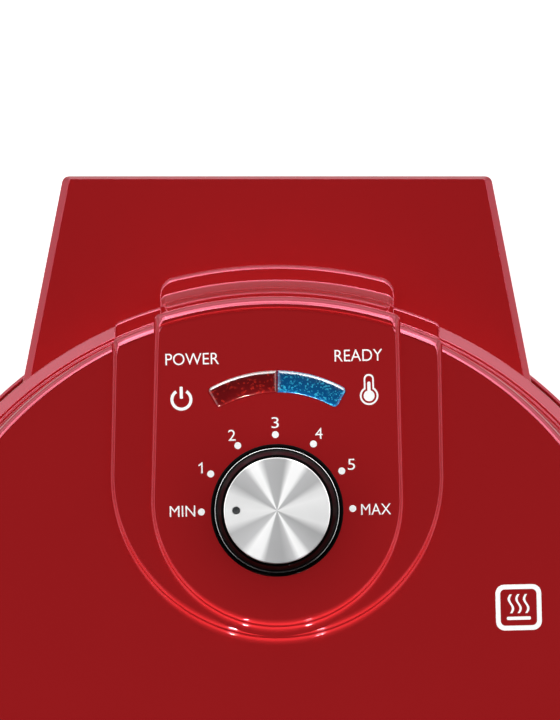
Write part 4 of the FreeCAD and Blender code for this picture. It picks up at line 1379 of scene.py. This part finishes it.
@dataclass
class Dial:
    """Thermostat knob: black body, thin bright ring and spun cap with its pointer dimple."""

    datum: Datum
    ring_radius: float = 17.15
    cap_radius: float = 14.6
    dimple_reach: float = 11.2
    dimple_radius: float = 1.15
    skirt: float = 2.6

    def build(self) -> list[Piece]:
        """Makes the four pieces of the knob."""
        knob = finish_piece(self.knob(), Body.DIAL, KNOB_ABS, ["dial_body"])
        ring = finish_piece(self.ring(), Body.DIAL, PLATED_RING, ["dial_ring"])
        cap = finish_piece(self.cap(), Body.DIAL, CAP_ALUMINIUM, ["dial_cap"])
        dot = finish_piece(self.dot(), Body.DIAL, DOT_PAINT)
        return [knob, ring, cap, dot]

    def knob(self) -> Piece:
        """Black body with a rounded skirt, a groove for the ring and a drafted grip."""
        d = self.datum
        low, high = d.dial_bottom, d.dial_top
        seat = low + mm(self.skirt)
        rim, ring = mm(self.cap_radius), mm(self.ring_radius)
        path = rounded_path([
            (mm(4.0), low, 0.0), (d.dial_radius, low, mm(0.3)), (d.dial_radius, seat, mm(0.7)),
            (ring, seat, mm(0.1)), (ring, seat - mm(0.5), 0.0),
            (ring - mm(0.55), seat - mm(0.5), 0.0), (ring - mm(0.55), seat, mm(0.1)),
            (rim + mm(0.75), high - mm(0.5), mm(0.5)), (rim + mm(0.12), high - mm(0.5), mm(0.1)),
            (rim + mm(0.12), high - mm(1.3), 0.0), (mm(4.0), high - mm(1.3), 0.0),
        ], closed=False, steps=5)
        return shade(lathe("dial_knob", path, (0.0, d.dial_y), steps=160))

    def ring(self) -> Piece:
        """Thin bright ring in the knob's groove."""
        d = self.datum
        seat = d.dial_bottom + mm(self.skirt)
        outer, inner = mm(self.ring_radius) - mm(0.03), mm(self.ring_radius) - mm(0.5)
        path = rounded_path([
            (inner, seat - mm(0.45), 0.0), (outer, seat - mm(0.45), 0.0), (outer, seat + mm(0.15), mm(0.15)),
            (inner, seat + mm(0.15), mm(0.15)),
        ], steps=4)
        return shade(lathe("dial_bright_ring", path, (0.0, d.dial_y), ring=True, steps=160))

    def cap(self) -> Piece:
        """Turned disc with a broken edge and the drilled dimple."""
        d = self.datum
        top = d.dial_top
        rim = mm(self.cap_radius)
        path = rounded_path([
            (mm(0.4), top, 0.0), (mm(10.0), top, 0.0), (rim, top, mm(0.3)), (rim, top - mm(1.2), 0.0),
            (mm(0.4), top - mm(1.2), 0.0),
        ], closed=False, steps=4)
        cap = lathe("dial_spun_cap", path, (0.0, d.dial_y), steps=160)
        hole = [(mm(0.01), top + mm(0.5)), (mm(self.dimple_radius) + mm(0.5), top + mm(0.5)),
                (mm(self.dimple_radius), top - mm(0.02)), (mm(self.dimple_radius) * 0.8, top - mm(0.45)),
                (mm(0.01), top - mm(0.55))]
        cutter = lathe("dimple", hole, (-mm(self.dimple_reach), d.dial_y), steps=48)
        return shade(combine(cap, [cutter], Cut.REMOVE))

    def dot(self) -> Piece:
        """Paint in the dimple."""
        d = self.datum
        low = d.dial_top - mm(0.6)
        radius = mm(self.dimple_radius)
        path = rounded_path([
            (mm(0.02), low, 0.0), (radius * 0.8, low, 0.0), (radius * 0.93, d.dial_top - mm(0.2), mm(0.05)),
            (mm(0.3), d.dial_top - mm(0.38), mm(0.2)), (mm(0.02), d.dial_top - mm(0.4), 0.0),
        ], closed=False, steps=3)
        return shade(lathe("dial_pointer_dot", path, (-mm(self.dimple_reach), d.dial_y), steps=48))


# Print -------------------------------------------------------------------------------------------


@dataclass(frozen=True)
class Stroke:
    """A flat mark: an outline and the holes in it, in millimetres about its own middle."""

    outline: tuple[Flat, ...]
    holes: tuple[tuple[Flat, ...], ...] = ()


def round_outline(radius: float, centre: Flat = ORIGIN, steps: int = 40) -> tuple[Flat, ...]:
    """A circle's points in millimetres."""
    return tuple(polar(centre, radius, turns(steps)))


def box_outline(width: float, height: float, centre: Flat = ORIGIN, radius: float = 0.0) -> tuple[Flat, ...]:
    """A rectangle's points in millimetres, with round corners if a radius is given."""
    x, y = width / 2.0, height / 2.0
    signs = ((-1, -1), (1, -1), (1, 1), (-1, 1))
    corners = [(centre[0] + a * x, centre[1] + b * y, radius) for a, b in signs]
    return tuple(rounded_path(corners, steps=5))


# Angles of the dial's settings about its axis, from the lowest to the highest.
SCALE_TURNS = [math.radians(180.0 - 30.0 * index) for index in range(7)]


@dataclass
class DialPrint:
    """White screen print: a heat scale about the dial, captions with their signs, and a sign for warmth."""

    datum: Datum
    tilt: float = 1.3
    dot_reach: float = 20.8
    dot_radius: float = 0.95
    label_reach: float = 23.9
    power_place: Flat = (-25.6, 31.2)
    ready_place: Flat = (26.0, 30.9)
    heat_place: Flat = (65.8, -28.2)
    captions_y: float = 42.1
    caption_height: float = 3.2
    figure_height: float = 3.0
    ink: float = 0.03

    def build(self) -> list[Piece]:
        """Makes every mark and ties it to the lid."""
        marks = [
            *self.scale_dots(), *self.scale_labels(), *self.captions(), self.power_sign(), self.ready_sign(),
            *self.heat_sign(),
        ]
        print_piece = self.joined(marks, "panel_print")
        return [finish_piece(print_piece, Body.LID, WHITE_INK)]

    @staticmethod
    def joined(marks: Sequence[Piece], name: str) -> Piece:
        """Puts many marks in one mesh object.

        Args:
            marks: The marks; they are used up.
            name: The new object's name.

        Returns:
            One mesh object.
        """
        work = bmesh.new()
        for mark in marks:
            mark.data.transform(mark.matrix_world)
            work.from_mesh(mark.data)
            bpy.data.objects.remove(mark)
        mesh = bpy.data.meshes.new(name)
        work.to_mesh(mesh)
        work.free()
        obj = bpy.data.objects.new(name, mesh)
        bpy.context.scene.collection.objects.link(obj)
        return obj

    def placed(self, x: float, y: float, on_flat: bool) -> Vector:
        """A point of the panel in metres, turned by the print's tilt about the dial.

        Args:
            x: Millimetres right of the dial's axis.
            y: Millimetres towards the hinge.
            on_flat: Whether the mark sits on the lid's flat instead of the panel.

        Returns:
            The point, a hair above the surface.
        """
        turn = math.radians(self.tilt)
        right = x * math.cos(turn) - y * math.sin(turn)
        back = x * math.sin(turn) + y * math.cos(turn)
        level = self.datum.lid_top if on_flat else self.datum.panel_top
        return Vector((mm(right), self.datum.dial_y + mm(back), level + mm(0.01)))

    def mark(self, name: str, stroke: Stroke, x: float, y: float, on_flat: bool = False) -> Piece:
        """One filled mark as a thin layer of ink.

        Args:
            name: The object's name.
            stroke: Its outline.
            x: Its middle, right of the dial's axis, in millimetres.
            y: Its middle, towards the hinge, in millimetres.
            on_flat: Whether it sits on the lid's flat.

        Returns:
            The mark.
        """
        curve = bpy.data.curves.new(name, "CURVE")
        curve.dimensions = "2D"
        curve.fill_mode = "BOTH"
        curve.extrude = mm(self.ink) / 2.0
        for outline in (stroke.outline, *stroke.holes):
            spline = curve.splines.new("POLY")
            spline.points.add(len(outline) - 1)
            for point, (a, b) in zip(spline.points, outline):
                point.co = (mm(a), mm(b), 0.0, 1.0)
            spline.use_cyclic_u = True
        return self.meshed(name, curve, x, y, on_flat)

    def meshed(self, name: str, curve: bpy.types.Curve, x: float, y: float, on_flat: bool = False) -> Piece:
        """Turns a filled curve into a placed mesh.

        Args:
            name: The object's name.
            curve: The curve or text.
            x: Its middle, right of the dial's axis, in millimetres.
            y: Its middle, towards the hinge, in millimetres.
            on_flat: Whether it sits on the lid's flat.

        Returns:
            The placed mesh.
        """
        source = bpy.data.objects.new(name + "_curve", curve)
        bpy.context.scene.collection.objects.link(source)
        bpy.context.view_layer.update()
        mesh = bpy.data.meshes.new_from_object(source.evaluated_get(bpy.context.evaluated_depsgraph_get()))
        bpy.data.objects.remove(source)
        obj = bpy.data.objects.new(name, mesh)
        bpy.context.scene.collection.objects.link(obj)
        spin = Matrix.Rotation(math.radians(self.tilt), 4, "Z")
        obj.matrix_world = Matrix.Translation(self.placed(x, y, on_flat)) @ spin
        return obj

    def text(self, words: str, width: float, height: float, x: float, y: float) -> Piece:
        """A word or a number, stretched to its printed width and cap height.

        Args:
            words: The word.
            width: Its width in millimetres.
            height: Its cap height in millimetres.
            x: Its middle, right of the dial's axis, in millimetres.
            y: Its middle, towards the hinge, in millimetres.

        Returns:
            The placed mesh.
        """
        curve = bpy.data.curves.new("word_" + words, "FONT")
        curve.body = words
        curve.size = mm(4.0)
        curve.extrude = mm(self.ink) / 2.0
        curve.offset = mm(-0.01)
        obj = self.meshed("word_" + words, curve, x, y)
        spots = [v.co for v in obj.data.vertices]
        low = Vector((min(p.x for p in spots), min(p.y for p in spots), 0.0))
        high = Vector((max(p.x for p in spots), max(p.y for p in spots), 0.0))
        middle = (low + high) / 2.0
        size = high - low
        fit = Matrix.Diagonal((mm(width) / size.x, mm(height) / size.y, 1.0, 1.0))
        obj.data.transform(fit @ Matrix.Translation(-middle))
        return obj

    def scale_dots(self) -> list[Piece]:
        """Seven dots from the lowest to the highest setting."""
        dot = Stroke(round_outline(self.dot_radius))
        places = polar(ORIGIN, self.dot_reach, SCALE_TURNS)
        return [self.mark(f"dot_{index}", dot, x, y) for index, (x, y) in enumerate(places)]

    def scale_labels(self) -> list[Piece]:
        """The words at the ends of the scale and the five numbers between them."""
        high = self.figure_height
        made = [self.text("MIN", 7.0, high, -26.0, 0.3), self.text("MAX", 8.2, high, 27.2, -0.3)]
        for index, (x, y) in enumerate(polar((0.0, 0.2), self.label_reach, SCALE_TURNS[1:-1]), 1):
            if index == 1:
                made.append(self.mark("one", self.one(), x, y))
            else:
                made.append(self.text(str(index), 2.0, high, x, y))
        return made

    @staticmethod
    def one() -> Stroke:
        """The figure 1 with its flag."""
        return Stroke((
            (0.5, -1.5), (0.5, 1.5), (0.2, 1.5), (-0.1, 1.1), (-0.65, 0.75), (-0.65, 0.4), (-0.2, 0.6),
            (0.12, 0.85), (0.12, -1.5),
        ))

    def captions(self) -> list[Piece]:
        """The plain captions beside the two windows."""
        words = (("POWER", 14.7, -22.4), ("READY", 13.1, 23.3))
        return [self.text(word, width, self.caption_height, x, self.captions_y) for word, width, x in words]

    def power_sign(self) -> Piece:
        """A broken circle with an upright bar."""
        gap = math.radians(32.0)
        arc = turns(40, FULL_TURN - 2.0 * gap, QUARTER_TURN + gap, last=True)
        ring = polar((0.0, -0.2), 3.02, arc) + polar((0.0, -0.2), 2.2, reversed(arc))
        circle = self.mark("power_circle", Stroke(tuple(ring)), *self.power_place)
        bar = self.mark("power_bar", Stroke(box_outline(0.85, 3.3, (0.0, 1.7), 0.2)), *self.power_place)
        return self.joined([circle, bar], "power_sign")

    def ready_sign(self) -> Piece:
        """A plain thermometer."""
        def bulb(stem: float, radius: float, top: float) -> tuple[Flat, ...]:
            start = math.asin(stem / radius)
            low = turns(32, FULL_TURN - 2.0 * start, QUARTER_TURN + start, last=True)
            cap = turns(12, math.pi, last=True)
            return tuple(polar(ORIGIN, radius, low) + polar((0.0, top - stem), stem, cap))

        wall = Stroke(bulb(1.4, 2.55, 6.0), (bulb(0.95, 2.05, 5.5),))
        shell = self.mark("thermometer_wall", wall, *self.ready_place)
        filling = self.mark("thermometer_filling", Stroke(bulb(0.45, 1.5, 3.9)), *self.ready_place)
        return self.joined([shell, filling], "ready_sign")

    def heat_sign(self) -> list[Piece]:
        """A generic sign for warmth on the lid's flat: three rising waves over a bar in a rounded frame."""
        x, y = self.heat_place
        frame_out, frame_in = box_outline(12.6, 12.6, radius=2.4), box_outline(10.0, 10.0, radius=1.3)
        made = [self.mark("heat_frame", Stroke(frame_out, (frame_in,)), x, y, on_flat=True)]
        bar = Stroke(box_outline(6.6, 0.9, (0.0, -3.0), 0.3))
        made.append(self.mark("heat_bar", bar, x, y, on_flat=True))
        for column in (-2.1, 0.0, 2.1):
            rise = [(-1.6 + 5.2 * k / 16.0, 0.55 * math.sin(2.0 * math.pi * k / 16.0)) for k in range(17)]
            right = [(column + side + 0.32, up) for up, side in rise]
            left = [(column + side - 0.32, up) for up, side in reversed(rise)]
            made.append(self.mark("heat_wave", Stroke(tuple(right + left)), x, y, on_flat=True))
        return made


# Carried-over parts ------------------------------------------------------------------------------


@dataclass
class CarriedParts:
    """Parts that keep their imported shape: plates, heaters, shields, fasteners and what is inside."""

    smooth_degrees: float = 30.0

    def build(self) -> None:
        """Gives each remaining part its finish and smooths its round faces."""
        for node, finish in ((node, finish) for finish, nodes in CARRIED for node in nodes):
            obj = frame["nodes"][node]
            self.smooth(obj)
            for slot in obj.material_slots:
                slot.material = finish.material()
            LOG.info("%-22s keeps its packed shape, %s", node, finish.name)

    def smooth(self, obj: Piece) -> None:
        """Smooths round faces and leaves creases sharp, without moving a vertex."""
        obj.data.shade_smooth()
        obj.data.set_sharp_from_angle(angle=math.radians(self.smooth_degrees))
        normals = obj.modifiers.new("normals", "WEIGHTED_NORMAL")
        normals.keep_sharp = True


# Stage -------------------------------------------------------------------------------------------


@dataclass
class Studio:
    """Pale floor, soft white surroundings, strips of light and the camera."""

    datum: Datum
    view_height: float = 198.0
    view_centre_y: float = 103.2
    camera_x: float = 0.8
    lens: float = 1000.0
    sensor: float = 36.0
    floor_half: float = 60.0
    room_level: float = 0.95
    by_height: Sequence[Flat] = (
        (0.0, 0.9), (0.35, 1.0), (0.72, 0.85), (0.86, 0.25), (0.93, 0.02), (1.0, 0.0),
    )
    by_azimuth: Sequence[Flat] = (
        (0.0, 1.0), (0.125, 1.0), (0.15, 0.05), (0.35, 0.05), (0.375, 1.0), (1.0, 1.0),
    )
    front_level: float = 1900.0
    front_azimuth: float = 15.0
    front_elevation: float = 9.0
    front_size: Flat = (0.13, 0.16)
    ring_level: float = 3.0
    ring_shares: Sequence[float] = (0.4, 1.0, 1.0, 1.0, 0.4)
    ring_elevation: float = 24.0
    ring_size: Flat = (2.5, 3.2)
    crest_level: float = 9.0
    crest_azimuths: Sequence[float] = (135.0, 180.0, 225.0)
    crest_elevation: float = 55.0
    crest_size: Flat = (1.9, 1.6)
    overhead_level: float = 1.6
    overhead_elevation: float = 88.0
    overhead_size: Flat = (1.2, 1.2)
    light_distance: float = 3.0
    lit: Sequence[Piece] = ()
    cap: Sequence[Piece] = ()
    blockers: Sequence[Piece] = ()

    def build(self) -> None:
        """Makes the floor, the lights and the camera."""
        self.floor()
        self.surroundings()
        self.lights()
        self.camera()

    def floor(self) -> None:
        """A wide, matt, very pale floor that the object stands on."""
        half = self.floor_half
        corners = [(-half, -half, 0), (half, -half, 0), (half, half, 0), (-half, half, 0)]
        floor = mesh_object("floor", corners, [(0, 1, 2, 3)])
        material = bpy.data.materials.new("paper_white_matt")
        tree = empty_tree(material)
        place = add_node(tree, "ShaderNodeTexCoord", {}, {}).outputs["Object"]
        tone = ranged(tree, noise(tree, place, 3.0, 3.0), (0.3, 0.7), (0.93, 0.96))
        paper = add_node(
            tree, "ShaderNodeBsdfPrincipled",
            {"Roughness": 0.9, "Emission Color": (1.0, 1.0, 1.0, 1.0), "Emission Strength": 0.8},
            {"Base Color": tone},
        )
        add_node(tree, "ShaderNodeOutputMaterial", {}, {"Surface": paper.outputs["BSDF"]})
        floor.data.materials.append(material)

    def surroundings(self) -> None:
        """A white room, dark overhead and straight in front, so that level gloss stays deep in colour."""
        world = bpy.data.worlds.new("studio_surroundings")
        bpy.context.scene.world = world
        tree = empty_tree(world)
        aim = add_node(tree, "ShaderNodeTexCoord", {}, {}).outputs["Generated"]
        height = add_node(tree, "ShaderNodeSeparateXYZ", {}, {"Vector": aim}).outputs["Z"]
        walls, front = (
            ramp(tree, fac, [(place, (level, level, level, 1.0)) for place, level in stops])
            for fac, stops in ((height, self.by_height), (around(tree, aim), self.by_azimuth))
        )
        room = add_node(tree, "ShaderNodeMath", {"operation": "MULTIPLY"}, {})
        tree.links.new(walls, room.inputs[0])
        tree.links.new(front, room.inputs[1])
        strength = add_node(tree, "ShaderNodeMath", {"operation": "MULTIPLY"}, {})
        strength.inputs[1].default_value = self.room_level
        tree.links.new(room.outputs["Value"], strength.inputs[0])
        back_node = add_node(
            tree, "ShaderNodeBackground", {"Color": (1.0, 1.0, 1.0, 1.0)},
            {"Strength": strength.outputs["Value"]},
        )
        add_node(tree, "ShaderNodeOutputWorld", {}, {"Surface": back_node.outputs["Background"]})

    def light(self, name: str, azimuth: float, elevation: float, size: Flat, level: float) -> Piece:
        """One soft panel of light that faces the dial.

        Args:
            name: The light's name.
            azimuth: Degrees right of straight in front.
            elevation: Degrees above level.
            size: Its width and height in metres.
            level: Its brightness, where the surroundings have about 1.

        Returns:
            The light.
        """
        lamp = bpy.data.lights.new(name, "AREA")
        lamp.shape = "RECTANGLE"
        lamp.size, lamp.size_y = size
        lamp.energy = level * math.pi * size[0] * size[1]
        obj = bpy.data.objects.new(name, lamp)
        bpy.context.scene.collection.objects.link(obj)
        aim = Vector((0.0, self.datum.dial_y, self.datum.panel_top))
        turn, rise = math.radians(azimuth), math.radians(elevation)
        way = Vector((math.sin(turn) * math.cos(rise), -math.cos(turn) * math.cos(rise), math.sin(rise)))
        obj.location = aim + way * self.light_distance
        obj.rotation_euler = (-way).to_track_quat("-Z", "Y").to_euler()
        obj.visible_camera = False
        return obj

    @staticmethod
    def group(name: str, objects: Sequence[Piece]) -> bpy.types.Collection:
        """A named group of objects that a light falls on or is stopped by."""
        known = bpy.data.collections.get(name)
        if known:
            return known
        collection = bpy.data.collections.new(name)
        for obj in objects:
            collection.objects.link(obj)
        return collection

    def lights(self) -> None:
        """Front panels for the steps' noses, ring and crest panels that only gloss mirrors, one overhead."""
        for name, side in (("low_front_left", -1.0), ("low_front_right", 1.0)):
            turn = side * self.front_azimuth
            low = self.light(name, turn, self.front_elevation, self.front_size, self.front_level)
            low.light_linking.receiver_collection = self.group("lid_surfaces", self.lit)
            low.light_linking.blocker_collection = self.group("light_blockers", self.blockers)
        for index, share in enumerate(self.ring_shares):
            turn, level = 90.0 + 45.0 * index, share * self.ring_level
            panel = self.light(f"ring_{index}", turn, self.ring_elevation, self.ring_size, level)
            panel.visible_diffuse = False
        for index, turn in enumerate(self.crest_azimuths):
            crest = self.light(
                f"crest_{index}", turn, self.crest_elevation, self.crest_size, self.crest_level
            )
            crest.visible_diffuse = False
            crest.light_linking.receiver_collection = self.group("lid_surfaces", self.lit)
        overhead = self.light(
            "overhead", 180.0, self.overhead_elevation, self.overhead_size, self.overhead_level
        )
        overhead.light_linking.receiver_collection = self.group("cap_surface", self.cap)

    def camera(self) -> None:
        """A long lens straight above."""
        scene = bpy.context.scene
        data = bpy.data.cameras.new("camera")
        data.lens = self.lens
        data.sensor_fit = "VERTICAL"
        data.sensor_height = self.sensor
        distance = mm(self.view_height) * self.lens / data.sensor_height
        camera = bpy.data.objects.new("camera", data)
        scene.collection.objects.link(camera)
        camera.location = (mm(self.camera_x), mm(self.view_centre_y), self.datum.lid_top + distance)
        camera.rotation_euler = (0.0, 0.0, 0.0)
        data.clip_end = 4.0 * distance
        scene.camera = camera
        scene.view_settings.view_transform = "Standard"


def main() -> None:
    """Builds the waffle iron piece by piece, then the stage."""
    logging.basicConfig(level=logging.INFO, format="%(message)s")
    datum = Datum.from_frame()
    CarriedParts().build()
    BaseShell(datum).build()
    Handles(datum).build()
    Feet(datum).build()
    lid = [LidShell(datum).build(), ControlPanel(datum).build()]
    windows = LampWindows(datum).build()
    dial = Dial(datum).build()
    marks = DialPrint(datum).build()
    screws = frame["nodes"]["bottom_cover_screws"]
    Studio(datum, lit=[*lid, *windows, *marks], cap=dial[2:3], blockers=[screws]).build()


if __name__ == "__main__":
    main()
